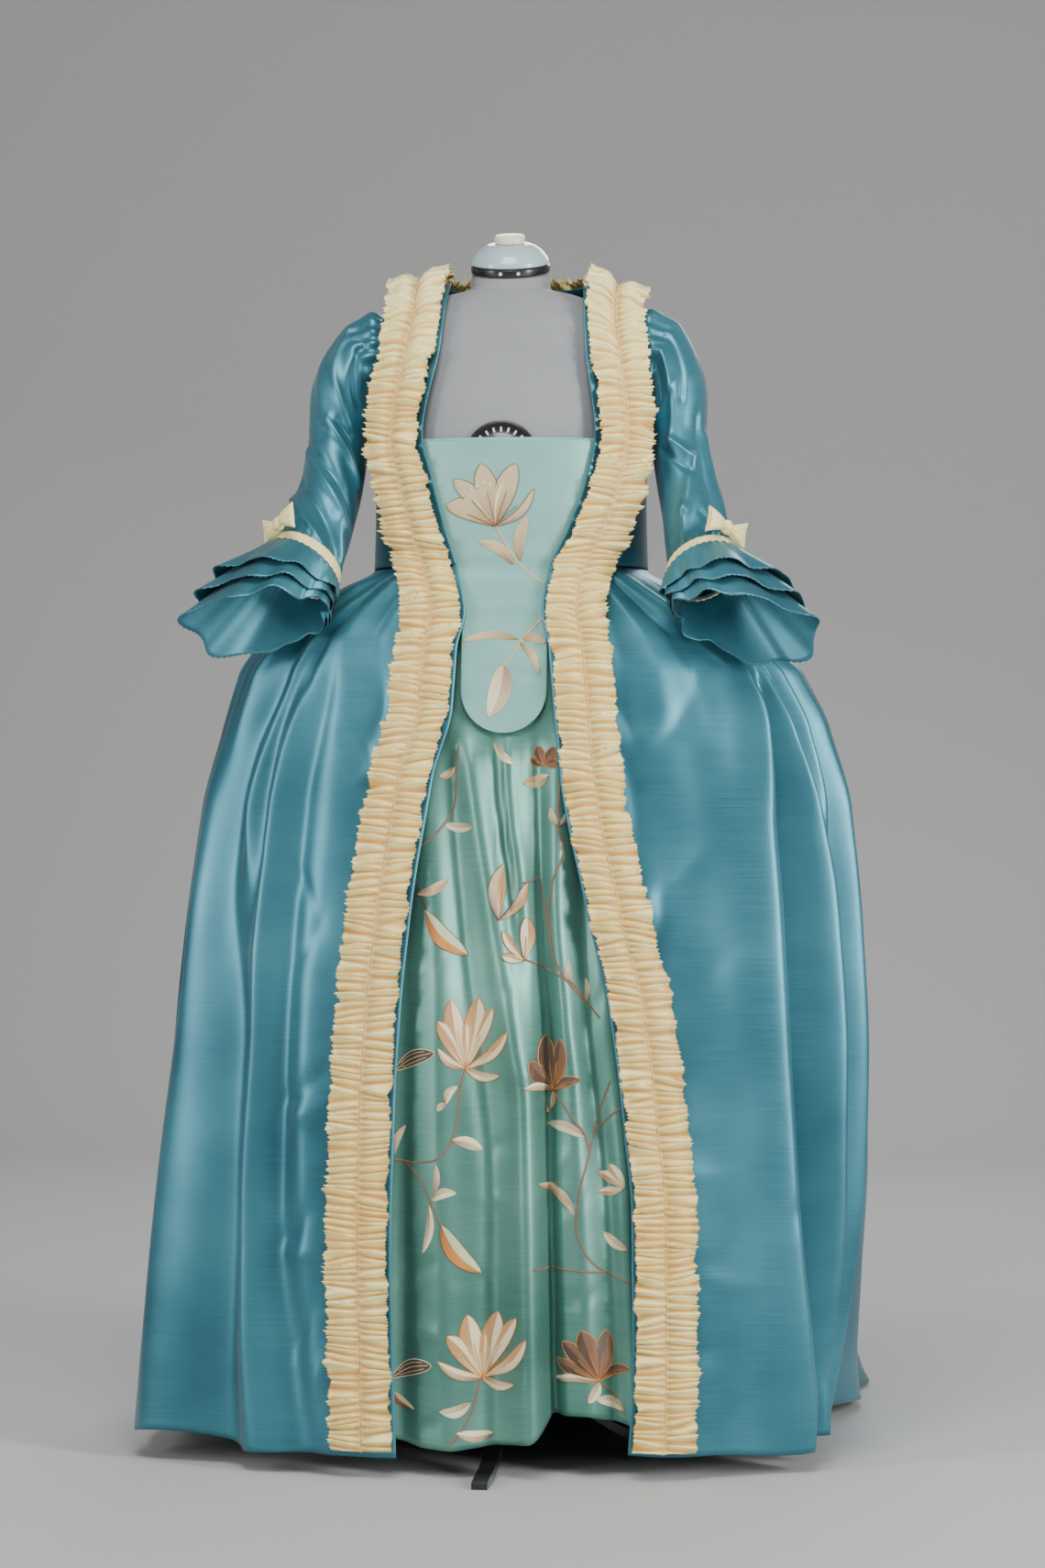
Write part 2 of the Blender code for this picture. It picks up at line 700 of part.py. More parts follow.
def build_sleeve(side, sign, table):
    frames = sleeve_frames(table)
    angles = around(sign, 14)
    rows = [[ring_point(frame, angle) for angle in angles] for frame in frames]
    cloth_panel("sleeve_" + side, rows, TEAL, closed=True)
    end = frames[-1]
    rows = []
    for part in (0.50, 0.97):
        row = []
        for angle in angles:
            sleeve = ring_point(frames[-2], angle).lerp(ring_point(end, angle), part)
            row.append(sleeve + ring_point(end, angle, BAND_LIFT) - ring_point(end, angle))
        rows.append(row)
    cloth_panel("sleeve_band_" + side, rows, GOLD, closed=True)
    for number, row in enumerate(TIERS):
        build_flounce(f"flounce_{side}_{number + 1}", sign, end, dict(zip(TIER_COLUMNS, row)))


def build_flounce(name, sign, end, tier):
    """A gathered circular frill, long outside the elbow and short inside it."""
    hang = Vector((0.34 * sign, -0.30, -0.89)).normalized()
    rows = []
    for part in (0.0, 0.4, 1.0):
        row = []
        for angle in around(sign, 20):
            outside = 0.5 + 0.5 * math.cos(math.radians(angle))
            length = mix(tier["inside"], tier["outside"], outside ** 1.3) * part
            wave = TIER_WAVE_HEIGHT * part * math.cos(math.radians(angle * TIER_WAVES))
            base = ring_point(end, angle, tier["lift"], 0.0015)
            out = ring_point(end, angle, 0.01) - ring_point(end, angle)
            out = Vector((out.x, min(out.y, out.y * 0.15), out.z)) / 0.01
            reach = length * tier["flare"] * mix(0.4, 1.0, outside)
            row.append(base + hang * length + out * (reach + wave))
        rows.append(row)
    cloth_panel(name, rows, TEAL, 0.0012, closed=True)


def build_bow(side, sign, table):
    """A flat bow on the outside of the sleeve band: two puffed wings and a knot."""
    end = sleeve_frames(table)[-1]
    outward = Vector((sign * 0.80, -0.60, 0.10)).normalized()
    along = Vector((0.55 * sign, 0.62, -0.30))
    along = (along - outward * along.dot(outward)).normalized()
    upward = along.cross(outward)
    middle = ring_point(end, BOW_ANGLE, BAND_LIFT + 0.0165, -0.015)
    for number, facing in ((1, -1.0), (2, 1.0)):
        rings = []
        for row in WING:
            size = dict(zip(WING_COLUMNS, row))
            ring = []
            for corner in range(10):
                turn = 2.0 * math.pi * corner / 10
                ring.append(middle + along * facing * size["out"]
                            + upward * math.cos(turn) * size["half_high"]
                            + outward * math.sin(turn) * size["half_deep"])
            rings.append(ring)
        closed_loft(f"bow_wing_{side}_{number}", rings, GOLD)
    rings = []
    for across, size in ((-0.0072, 0.0045), (-0.0035, 0.0068), (0.0035, 0.0068), (0.0072, 0.0045)):
        rings.append([middle + along * across
                      + upward * math.cos(2.0 * math.pi * corner / 10) * size * 1.3
                      + outward * math.sin(2.0 * math.pi * corner / 10) * size
                      for corner in range(10)])
    closed_loft("bow_knot_" + side, rings, GOLD)


# ---------------------------------------------------------------- dress form and stand

def build_torso():
    levels = (1.434, 1.429, 1.423, 1.413, 1.396, 1.372, 1.340, 1.300, 1.255, 1.205, 1.150,
              1.085, 1.020, 0.950, 0.900, 0.860)
    rings = [[torso_point(station, z) for station in spread(-180.0, 168.75, 32)] for z in levels]
    collar = neck_ring(0.0468, 0.0076, sides=32)
    rings.insert(0, collar[8:] + collar[:8])
    closed_loft("form_torso", rings, GREY, 60.0)


NECK_TILT = math.radians(17.0)
NECK_MIDDLE = Vector((0.0, 0.002, 1.4465))


def neck_ring(half, height, depth=0.95, sides=24):
    """A ring square to the neck, which leans forward."""
    ring = []
    for corner in range(sides):
        turn = 2.0 * math.pi * corner / sides
        x, y = half * math.cos(turn), half * depth * math.sin(turn)
        ring.append(NECK_MIDDLE + Vector((x, y * math.cos(NECK_TILT) - height * math.sin(NECK_TILT),
                                          y * math.sin(NECK_TILT) + height * math.cos(NECK_TILT))))
    return ring


def build_neck():
    band = ((0.0480, 0.0180), (0.0490, 0.0160), (0.0490, 0.0105), (0.0480, 0.0085))
    closed_loft("neck_band", [neck_ring(*row) for row in band], BLACK, 30.0)
    cap = ((0.0200, 0.0440), (0.0330, 0.0400), (0.0425, 0.0330), (0.0475, 0.0250), (0.0485, 0.0186))
    closed_loft("neck_cap", [neck_ring(*row) for row in cap], PALE)
    knob = ((0.0160, 0.0545), (0.0185, 0.0520), (0.0190, 0.0470), (0.0185, 0.0445))
    closed_loft("cap_knob", [neck_ring(*row, sides=16) for row in knob], CREAM)


def build_dial():
    """A round adjusting dial, flush on the chest."""
    middle_z = 1.214
    rings = []
    for radius, lift in ((0.006, 0.0014), (0.026, 0.0014), (0.044, 0.0014),
                         (0.044, 0.0044), (0.026, 0.0044), (0.006, 0.0044)):
        ring = []
        for corner in range(20):
            turn = 2.0 * math.pi * corner / 20
            z = middle_z + radius * math.sin(turn)
            station = station_at(torso_point, radius * math.cos(turn), z)
            ring.append(lifted(torso_point, station, z, lift))
        rings.append(ring)
    closed_loft("chest_dial", rings, BLACK, 30.0)


def turned(name, profile, finish, sides=20):
    """A solid turned about the upright axis, from rows of height and radius, top first."""
    rings = [[Vector((radius * math.cos(2.0 * math.pi * corner / sides),
                      radius * math.sin(2.0 * math.pi * corner / sides), z))
              for corner in range(sides)] for z, radius in profile]
    return closed_loft(name, rings, finish, 40.0)


def build_stand():
    turned("form_pole", ((0.8595, 0.0120), (0.1505, 0.0120)), BLACK)
    turned("stand_hub", ((0.1500, 0.0240), (0.1440, 0.0300), (0.0960, 0.0300), (0.0900, 0.0240)),
           BLACK)
    wide, thick = 0.0095, 0.0120
    sections = []
    for part in spread(0.0, 1.0, 9):
        along = mix(0.0305, STAND_REACH - 0.030, part)
        low = 0.104 * (1.0 - part) ** 2.0
        sections.append((along, low, thick))
    sections.append((STAND_REACH, 0.0, thick * 0.6))
    for number, name in enumerate(("front", "right", "back", "left")):
        turn = math.radians(STAND_TURN + 90.0 * number - 90.0)
        out = Vector((math.cos(turn), math.sin(turn), 0.0))
        aside = Vector((-out.y, out.x, 0.0)) * wide
        rings = []
        for along, low, tall in sections:
            base = out * along + Vector((0.0, 0.0, low))
            top = base + Vector((0.0, 0.0, tall))
            rings.append([base - aside, base + aside, top + aside, top - aside])
        closed_loft("stand_leg_" + name, rings, BLACK, 30.0)


def centre_on_floor():
    """Move everything so that the origin is under the middle of the whole model."""
    bpy.context.view_layer.update()
    graph = bpy.context.evaluated_depsgraph_get()
    corners = []
    for body in bpy.data.objects:
        mesh = body.evaluated_get(graph).to_mesh()
        corners += [vertex.co.copy() for vertex in mesh.vertices]
    low = [min(corner[axis] for corner in corners) for axis in range(3)]
    high = [max(corner[axis] for corner in corners) for axis in range(3)]
    shift = Vector((-(low[0] + high[0]) / 2.0, -(low[1] + high[1]) / 2.0, -low[2]))
    for body in bpy.data.objects:
        for vertex in body.data.vertices:
            vertex.co += shift


def build_all():
    remove_scene_objects()
    build_bodice()
    build_skirt()
    build_sack_back()
    build_trims()
    build_petticoat()
    build_stomacher()
    for side, sign, table in (("left", -1.0, SLEEVE_LEFT), ("right", 1.0, SLEEVE_RIGHT)):
        build_sleeve(side, sign, table)
        build_bow(side, sign, table)
    build_torso()
    build_neck()
    build_dial()
    build_stand()
    centre_on_floor()


build_all()
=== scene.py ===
"""Looks of a robe a la francaise, with its petticoat and stomacher, on a limbless dress form."""
import math
import random

import bmesh
import bpy
import numpy as np
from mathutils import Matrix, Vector


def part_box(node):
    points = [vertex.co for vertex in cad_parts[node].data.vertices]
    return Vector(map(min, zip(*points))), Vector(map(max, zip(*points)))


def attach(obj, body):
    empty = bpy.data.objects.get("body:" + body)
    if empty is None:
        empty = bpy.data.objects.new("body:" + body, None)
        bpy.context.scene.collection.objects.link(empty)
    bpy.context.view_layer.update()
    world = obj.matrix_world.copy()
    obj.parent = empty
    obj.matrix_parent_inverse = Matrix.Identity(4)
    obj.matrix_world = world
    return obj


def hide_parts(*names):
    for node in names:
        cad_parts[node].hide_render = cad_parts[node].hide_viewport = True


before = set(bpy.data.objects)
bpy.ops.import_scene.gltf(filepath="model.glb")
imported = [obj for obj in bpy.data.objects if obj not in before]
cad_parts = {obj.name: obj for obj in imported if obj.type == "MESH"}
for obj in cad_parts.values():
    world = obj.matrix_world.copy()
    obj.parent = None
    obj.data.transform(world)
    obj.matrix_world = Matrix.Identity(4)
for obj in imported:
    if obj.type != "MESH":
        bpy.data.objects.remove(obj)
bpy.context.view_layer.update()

# ---------------------------------------------------------------- camera, floor and lights
# The form's pole is the axis that every width and depth of the garment is measured from.
pole_low, pole_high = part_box("form_pole")
AXIS = np.array([(pole_low[0] + pole_high[0]) / 2.0, (pole_low[1] + pole_high[1]) / 2.0, 0.0])
CAMERA_TURN = math.radians(5.0)
CAMERA_DISTANCE = 4.42
CAMERA_HEIGHT = 0.822
CAMERA_ASIDE = 0.0147

camera_data = bpy.data.cameras.new("camera")
camera_data.sensor_fit = "VERTICAL"
camera_data.sensor_height = 36.0
camera_data.lens = 82.1
camera = bpy.data.objects.new("camera", camera_data)
bpy.context.scene.collection.objects.link(camera)
aim = Vector((math.sin(CAMERA_TURN), -math.cos(CAMERA_TURN), 0.0))
aside = Vector((math.cos(CAMERA_TURN), math.sin(CAMERA_TURN), 0.0))
camera.location = Vector(AXIS) + aim * CAMERA_DISTANCE + aside * CAMERA_ASIDE
camera.location.z = CAMERA_HEIGHT
camera.rotation_euler = (math.pi / 2.0, 0.0, CAMERA_TURN)
bpy.context.scene.camera = camera


def plain_material(name, colour, roughness, metallic=0.0):
    """A Principled material with its constant values on its own sockets."""
    made = bpy.data.materials.new(name)
    made.use_nodes = True
    shader = made.node_tree.nodes["Principled BSDF"]
    shader.inputs["Base Color"].default_value = (*colour, 1.0)
    shader.inputs["Roughness"].default_value = roughness
    shader.inputs["Metallic"].default_value = metallic
    return made, shader


def display(red, green, blue):
    """Scene-linear colour from display values out of 255."""
    return tuple((value / 255.0) ** 2.2 for value in (red, green, blue))


def studio_sweep():
    """A pale floor that curves up into a wall behind."""
    profile = [(-7.0, 0.0), (3.2, 0.0)]
    for step in range(1, 13):
        turn = math.radians(90.0 * step / 12)
        profile.append((3.2 + 1.2 * math.sin(turn), 1.2 - 1.2 * math.cos(turn)))
    profile.append((4.4, 6.0))
    work = bmesh.new()
    left = [work.verts.new((-8.0, y, z - 0.0005)) for y, z in profile]
    right = [work.verts.new((8.0, y, z - 0.0005)) for y, z in profile]
    for low in range(len(profile) - 1):
        work.faces.new((left[low], right[low], right[low + 1], left[low + 1]))
    mesh = bpy.data.meshes.new("studio_sweep")
    work.to_mesh(mesh)
    work.free()
    mesh.shade_smooth()
    sweep = bpy.data.objects.new("studio_sweep", mesh)
    bpy.context.scene.collection.objects.link(sweep)
    paper, shader = plain_material("pale_paper", (0.56, 0.555, 0.55), 0.9)
    mesh.materials.append(paper)
    # the wall is there from in front only, so the gown can be looked at from behind as well
    tree = paper.node_tree
    facing = tree.nodes.new("ShaderNodeNewGeometry")
    clear = tree.nodes.new("ShaderNodeBsdfTransparent")
    either = tree.nodes.new("ShaderNodeMixShader")
    tree.links.new(facing.outputs["Backfacing"], either.inputs["Fac"])
    tree.links.new(shader.outputs[0], either.inputs[1])
    tree.links.new(clear.outputs[0], either.inputs[2])
    tree.links.new(either.outputs[0], tree.nodes["Material Output"].inputs["Surface"])


def soft_light(name, place, size, power, tint=(1.0, 1.0, 1.0)):
    data = bpy.data.lights.new(name, "AREA")
    data.shape = "RECTANGLE"
    data.size, data.size_y = size
    data.energy = power
    data.color = tint
    lamp = bpy.data.objects.new(name, data)
    bpy.context.scene.collection.objects.link(lamp)
    lamp.location = place
    lamp.rotation_euler = (Vector((0.0, 0.0, 0.75)) - Vector(place)).to_track_quat("-Z", "Y").to_euler()


studio_sweep()
soft_light("key_left", (-3.0, -2.6, 1.5), (0.7, 2.2), 70.0)
soft_light("key_right", (3.2, -2.3, 1.5), (0.7, 2.2), 140.0)
soft_light("top", (0.0, -2.2, 3.2), (1.4, 1.0), 62.0)
soft_light("rear", (0.5, 3.2, 3.0), (2.4, 1.2), 60.0)
world = bpy.data.worlds.new("studio")
world.use_nodes = True
world.node_tree.nodes["Background"].inputs["Color"].default_value = (0.50, 0.51, 0.52, 1.0)
world.node_tree.nodes["Background"].inputs["Strength"].default_value = 0.33
bpy.context.scene.world = world


# ---------------------------------------------------------------- dress form
# A limbless torso of papier mache covered in tight grey jersey, on a black steel stand. The
# rows give its half width, and its depth in front of and behind the pole, at each height.
TORSO = (
    (1.439, 0.046, 0.040, 0.045),
    (1.431, 0.052, 0.043, 0.050),
    (1.423, 0.083, 0.050, 0.062),
    (1.409, 0.118, 0.062, 0.077),
    (1.383, 0.141, 0.080, 0.090),
    (1.340, 0.148, 0.101, 0.098),
    (1.280, 0.153, 0.119, 0.101),
    (1.220, 0.154, 0.125, 0.100),
    (1.160, 0.152, 0.120, 0.096),
    (1.085, 0.140, 0.108, 0.094),
    (1.000, 0.144, 0.106, 0.104),
    (0.920, 0.150, 0.108, 0.110),
    (0.860, 0.150, 0.104, 0.108),
)
OVAL = 2.3               # how square the plan of a body or bodice is


def table_at(table, z):
    """The columns of a table at heights z, on smooth curves that never overshoot its rows."""
    rows = np.asarray(table, float)
    rows = rows[np.argsort(rows[:, 0])]
    knots, values = rows[:, 0], rows[:, 1:]
    chords = np.diff(values, axis=0) / np.diff(knots)[:, None]
    slopes = np.vstack([chords[:1], np.zeros_like(values[1:-1]), chords[-1:]])
    before, after = chords[:-1], chords[1:]
    gentle = np.sign(before) * np.minimum(np.abs(before), np.abs(after))
    slopes[1:-1] = np.where(before * after > 0.0, gentle, 0.0)
    place = np.clip(np.asarray(z, float), knots[0], knots[-1])
    low = np.clip(np.searchsorted(knots, place) - 1, 0, len(knots) - 2)
    span = (knots[low + 1] - knots[low])[..., None]
    part = (place - knots[low])[..., None] / span
    first, second = values[low], values[low + 1]
    bend = part * part * (3.0 - 2.0 * part)
    tilt = slopes[low] * (1.0 - part) - slopes[low + 1] * part
    return np.moveaxis(first + (second - first) * bend + span * part * (1.0 - part) * tilt, -1, 0)


def smooth_step(low, high, value):
    part = np.clip((np.asarray(value, float) - low) / (high - low), 0.0, 1.0)
    return part * part * (3.0 - 2.0 * part)


def mix(first, second, part):
    return first + (second - first) * part


def plan_point(station, half, depth, square):
    """Points of a squared ellipse in plan, as x and y."""
    turn = np.radians(station)
    power = 2.0 / square
    x = np.sign(np.sin(turn)) * np.abs(np.sin(turn)) ** power * half
    y = -np.sign(np.cos(turn)) * np.abs(np.cos(turn)) ** power * depth
    return x, y


def torso_surface(station, z):
    half, front, back = table_at(TORSO, z)
    x, y = plan_point(station, half, np.where(np.cos(np.radians(station)) > 0.0, front, back), OVAL)
    return np.stack([x, y, np.broadcast_to(z, x.shape)], -1)


def grid_faces(rows, columns, closed=False):
    """Corner numbers of a grid's faces, turned so that they face outwards."""
    last = columns if closed else columns - 1
    row, column = np.meshgrid(np.arange(rows - 1), np.arange(last), indexing="ij")
    beside = (column + 1) % columns
    corners = [row * columns + column, (row + 1) * columns + column,
               (row + 1) * columns + beside, row * columns + beside]
    return np.stack(corners, -1).reshape(-1, 4)


def mesh_from(name, points, faces, material, uv=None):
    """An object from points measured from the form's axis, with a UV map in metres."""
    mesh = bpy.data.meshes.new(name)
    mesh.from_pydata((np.asarray(points) + AXIS).tolist(), [], [tuple(face) for face in faces])
    if uv is not None:
        layer = mesh.uv_layers.new(name="cloth")
        corners = np.zeros(len(mesh.loops), int)
        mesh.loops.foreach_get("vertex_index", corners)
        layer.data.foreach_set("uv", np.asarray(uv)[corners].ravel())
    mesh.shade_smooth()
    mesh.materials.append(material)
    body = bpy.data.objects.new(name, mesh)
    bpy.context.scene.collection.objects.link(body)
    return body


def grid_uv(points):
    """A UV map that follows the cloth: across and down it, in metres."""
    steps = np.linalg.norm(np.diff(points, axis=1), axis=-1).mean(0)
    across = np.concatenate([[0.0], np.cumsum(steps)])
    drops = np.linalg.norm(np.diff(points, axis=0), axis=-1).mean(1)
    down = np.concatenate([[0.0], np.cumsum(drops)])
    rows, columns = points.shape[:2]
    return np.stack([np.tile(across, (rows, 1)), -np.tile(down[:, None], (1, columns))], -1)


def cloth(name, points, material, thickness=0.0012, closed=False):
    """A wall of cloth whose outer face is a grid of points."""
    rows, columns = points.shape[:2]
    faces = grid_faces(rows, columns, closed)
    body = mesh_from(name, points.reshape(-1, 3), faces, material,
                     grid_uv(points).reshape(-1, 2))
    wall = body.modifiers.new("wall", "SOLIDIFY")
    wall.thickness = thickness
    wall.offset = -1.0
    return body


def solid(name, points, material):
    """A closed solid over rings of points, top ring first, with its ends filled."""
    rows, columns = points.shape[:2]
    faces = grid_faces(rows, columns, True).tolist()
    top = list(range(columns))
    bottom = [(rows - 1) * columns + column for column in range(columns)]
    faces += [top, bottom[::-1]]
    mesh_points = points.reshape(-1, 3)
    body = mesh_from(name, mesh_points, faces, material)
    body.data.set_sharp_from_angle(angle=math.radians(50.0))
    return body


def settle(body, slot, *nodes):
    """Ride the one body and stand for the CAD's nodes, which are hidden. The slot argument is not used."""
    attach(body, "root")
    if nodes:
        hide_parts(*nodes)
    return body


class Nodes:
    """Short ways to add and join a material's nodes."""

    def __init__(self, tree):
        self.tree = tree

    def add(self, kind, **values):
        node = self.tree.nodes.new(kind)
        for name, value in values.items():
            setattr(node, name, value)
        return node

    def join(self, source, target):
        self.tree.links.new(source, target)


def new_group(name, inputs, outputs):
    """An empty shader group with named number inputs and its outputs."""
    tree = bpy.data.node_groups.new(name, "ShaderNodeTree")
    for label, value in inputs:
        socket = tree.interface.new_socket(label, in_out="INPUT", socket_type="NodeSocketFloat")
        socket.default_value = value
    for label, kind in outputs:
        tree.interface.new_socket(label, in_out="OUTPUT", socket_type=kind)
    nodes = Nodes(tree)
    return nodes, nodes.add("NodeGroupInput").outputs, nodes.add("NodeGroupOutput").inputs


def weave_group():
    """Plain weave on the cloth's own UV map: fine threads, and slubs along the weft."""
    nodes, given, put = new_group(
        "woven_threads", (("Threads per metre", 2400.0), ("Slub length", 14.0), ("Slub count", 700.0)),
        (("Height", "NodeSocketFloat"), ("Slub", "NodeSocketFloat"), ("Cloud", "NodeSocketFloat")))
    place = nodes.add("ShaderNodeTexCoord").outputs["UV"]
    split = nodes.add("ShaderNodeSeparateXYZ")
    nodes.join(place, split.inputs[0])
    waves = []
    for axis in (0, 1):
        times = nodes.add("ShaderNodeMath", operation="MULTIPLY")
        nodes.join(split.outputs[axis], times.inputs[0])
        nodes.join(given["Threads per metre"], times.inputs[1])
        sine = nodes.add("ShaderNodeMath", operation="SINE")
        nodes.join(times.outputs[0], sine.inputs[0])
        waves.append(sine)
    threads = nodes.add("ShaderNodeMath", operation="MULTIPLY")
    nodes.join(waves[0].outputs[0], threads.inputs[0])
    nodes.join(waves[1].outputs[0], threads.inputs[1])
    long = nodes.add("ShaderNodeMath", operation="MULTIPLY")
    nodes.join(split.outputs[0], long.inputs[0])
    nodes.join(given["Slub length"], long.inputs[1])
    fine = nodes.add("ShaderNodeMath", operation="MULTIPLY")
    nodes.join(split.outputs[1], fine.inputs[0])
    nodes.join(given["Slub count"], fine.inputs[1])
    both = nodes.add("ShaderNodeCombineXYZ")
    nodes.join(long.outputs[0], both.inputs[0])
    nodes.join(fine.outputs[0], both.inputs[1])
    slub = nodes.add("ShaderNodeTexNoise")
    slub.inputs["Scale"].default_value = 1.0
    slub.inputs["Detail"].default_value = 3.0
    nodes.join(both.outputs[0], slub.inputs["Vector"])
    cloud = nodes.add("ShaderNodeTexNoise")
    cloud.inputs["Scale"].default_value = 5.0
    cloud.inputs["Detail"].default_value = 3.0
    nodes.join(place, cloud.inputs["Vector"])
    height = nodes.add("ShaderNodeMath", operation="MULTIPLY_ADD")
    nodes.join(threads.outputs[0], height.inputs[0])
    height.inputs[1].default_value = 0.35
    nodes.join(slub.outputs["Fac"], height.inputs[2])
    nodes.join(height.outputs[0], put["Height"])
    nodes.join(slub.outputs["Fac"], put["Slub"])
    nodes.join(cloud.outputs["Fac"], put["Cloud"])
    return nodes.tree


WEAVE = weave_group()


def woven_material(name, deep, light, roughness, metallic, sheen, sheen_tint, bump=0.0002,
                   threads=2400.0, anisotropy=0.0):
    """Cloth whose colour runs from deep to light with its slubs and soft clouding."""
    made, shader = plain_material(name, light, roughness, metallic)
    shader.inputs["Sheen Weight"].default_value = sheen
    shader.inputs["Sheen Tint"].default_value = (*sheen_tint, 1.0)
    shader.inputs["Sheen Roughness"].default_value = 0.35
    shader.inputs["Anisotropic"].default_value = anisotropy
    nodes = Nodes(made.node_tree)
    weave = nodes.add("ShaderNodeGroup", node_tree=WEAVE)
    weave.inputs["Threads per metre"].default_value = threads
    mixed = nodes.add("ShaderNodeMath", operation="MULTIPLY_ADD")
    nodes.join(weave.outputs["Slub"], mixed.inputs[0])
    mixed.inputs[1].default_value = 0.35
    nodes.join(weave.outputs["Cloud"], mixed.inputs[2])
    ramp = nodes.add("ShaderNodeValToRGB")
    ramp.color_ramp.elements[0].position = 0.25
    ramp.color_ramp.elements[0].color = (*deep, 1.0)
    ramp.color_ramp.elements[1].position = 1.0
    ramp.color_ramp.elements[1].color = (*light, 1.0)
    nodes.join(mixed.outputs[0], ramp.inputs[0])
    nodes.join(ramp.outputs[0], shader.inputs["Base Color"])
    raised = nodes.add("ShaderNodeBump")
    raised.inputs["Strength"].default_value = 0.5
    raised.inputs["Distance"].default_value = bump
    nodes.join(weave.outputs["Height"], raised.inputs["Height"])
    nodes.join(raised.outputs[0], shader.inputs["Normal"])
    rough = nodes.add("ShaderNodeMapRange")
    rough.inputs["To Min"].default_value = roughness - 0.05
    rough.inputs["To Max"].default_value = roughness + 0.06
    nodes.join(weave.outputs["Slub"], rough.inputs["Value"])
    nodes.join(rough.outputs[0], shader.inputs["Roughness"])
    return made


def even(first, last, count):
    return np.linspace(first, last, count)


JERSEY = woven_material("grey_jersey", display(122, 125, 128), display(150, 153, 156), 0.82, 0.0,
                        0.35, (0.9, 0.9, 0.95), 0.0003, 3600.0)
NECK_TILT = math.radians(17.0)
NECK_MIDDLE = np.array([0.0, 0.002, 1.4465])


def neck_rings(profile, sides=64):
    """Rings square to the neck from rows of half width and height, top first."""
    turn = np.radians(np.arange(sides) * 360.0 / sides)[None, :]
    half = np.array([row[0] for row in profile])[:, None]
    up = np.array([row[1] for row in profile])[:, None]
    x, y = half * np.cos(turn), half * 0.95 * np.sin(turn)
    ring = np.stack([x, y * math.cos(NECK_TILT) - up * math.sin(NECK_TILT),
                     y * math.sin(NECK_TILT) + up * math.cos(NECK_TILT)], -1)
    return ring + NECK_MIDDLE


heights = np.concatenate([even(1.434, 1.423, 7), even(1.420, 1.340, 18), even(1.334, 0.860, 60)])
stations = even(-180.0, 176.25, 96)
collar = np.roll(neck_rings(((0.0420, 0.0078), (0.0458, 0.0076), (0.0472, 0.0066)), 96), -24, axis=1)
torso_rings = torso_surface(*np.meshgrid(stations, heights))
torso = solid("torso", np.concatenate([collar, torso_rings]), JERSEY)
torso_uv = torso.data.uv_layers.new(name="cloth")
for loop in torso.data.loops:
    spot = torso.data.vertices[loop.vertex_index].co
    torso_uv.data[loop.index].uv = (math.atan2(spot.x, -spot.y) * 0.14, spot.z)
settle(torso, "form_jersey", "form_torso")


# ---------------------------------------------------------------- neck and stand
# A black band round the neck with small pale rivets, a glossy pale cap and its cream knob, a
# round adjusting dial on the chest, and the black stand. The neck leans forward a little.
def rounded_profile(rows, steps=6):
    """A profile with extra rows on a smooth curve through the given ones."""
    places = np.arange(len(rows))
    fine = np.linspace(0.0, len(rows) - 1.0, steps * (len(rows) - 1) + 1)
    table = [(place, *row) for place, row in zip(places, rows)]
    return np.stack(list(table_at(table, fine)), -1)


def gloss_material(name, colour, roughness, coat, grain):
    """Painted or moulded finish: faint mottling in its colour and fine orange-peel."""
    made, shader = plain_material(name, colour, roughness)
    shader.inputs["Coat Weight"].default_value = coat
    shader.inputs["Coat Roughness"].default_value = 0.12
    nodes = Nodes(made.node_tree)
    place = nodes.add("ShaderNodeTexCoord").outputs["Object"]
    noise = nodes.add("ShaderNodeTexNoise")
    noise.inputs["Scale"].default_value = grain
    noise.inputs["Detail"].default_value = 4.0
    nodes.join(place, noise.inputs["Vector"])
    ramp = nodes.add("ShaderNodeValToRGB")
    ramp.color_ramp.elements[0].color = (*[value * 0.86 for value in colour], 1.0)
    ramp.color_ramp.elements[1].color = (*[min(value * 1.1, 1.0) for value in colour], 1.0)
    nodes.join(noise.outputs["Fac"], ramp.inputs[0])
    nodes.join(ramp.outputs[0], shader.inputs["Base Color"])
    peel = nodes.add("ShaderNodeBump")
    peel.inputs["Strength"].default_value = 0.25
    peel.inputs["Distance"].default_value = 0.0003
    nodes.join(noise.outputs["Fac"], peel.inputs["Height"])
    nodes.join(peel.outputs[0], shader.inputs["Normal"])
    return made


BLACK = gloss_material("black_paint", (0.012, 0.012, 0.013), 0.34, 0.4, 320.0)
PALE = gloss_material("pale_gloss", display(172, 196, 200), 0.30, 0.5, 60.0)
CREAM = gloss_material("cream_gloss", display(232, 228, 200), 0.38, 0.3, 60.0)
RIVET = gloss_material("rivet_white", display(225, 225, 222), 0.35, 0.2, 200.0)

band = rounded_profile(((0.0450, 0.0180), (0.0476, 0.0178), (0.0488, 0.0168), (0.0490, 0.0132),
                        (0.0488, 0.0096), (0.0476, 0.0086), (0.0450, 0.0085)))
settle(solid("neck_strap", neck_rings(band), BLACK), "stand_black", "neck_band")
cap = rounded_profile(((0.0160, 0.0441), (0.0260, 0.0430), (0.0350, 0.0385), (0.0430, 0.0310),
                       (0.0474, 0.0240), (0.0485, 0.0200), (0.0470, 0.0186)))
settle(solid("cap", neck_rings(cap), PALE), "cap_gloss", "neck_cap")
knob = rounded_profile(((0.0120, 0.0545), (0.0168, 0.0540), (0.0188, 0.0515), (0.0190, 0.0480),
                        (0.0184, 0.0446)))
settle(solid("knob", neck_rings(knob), CREAM), "knob_cream", "cap_knob")


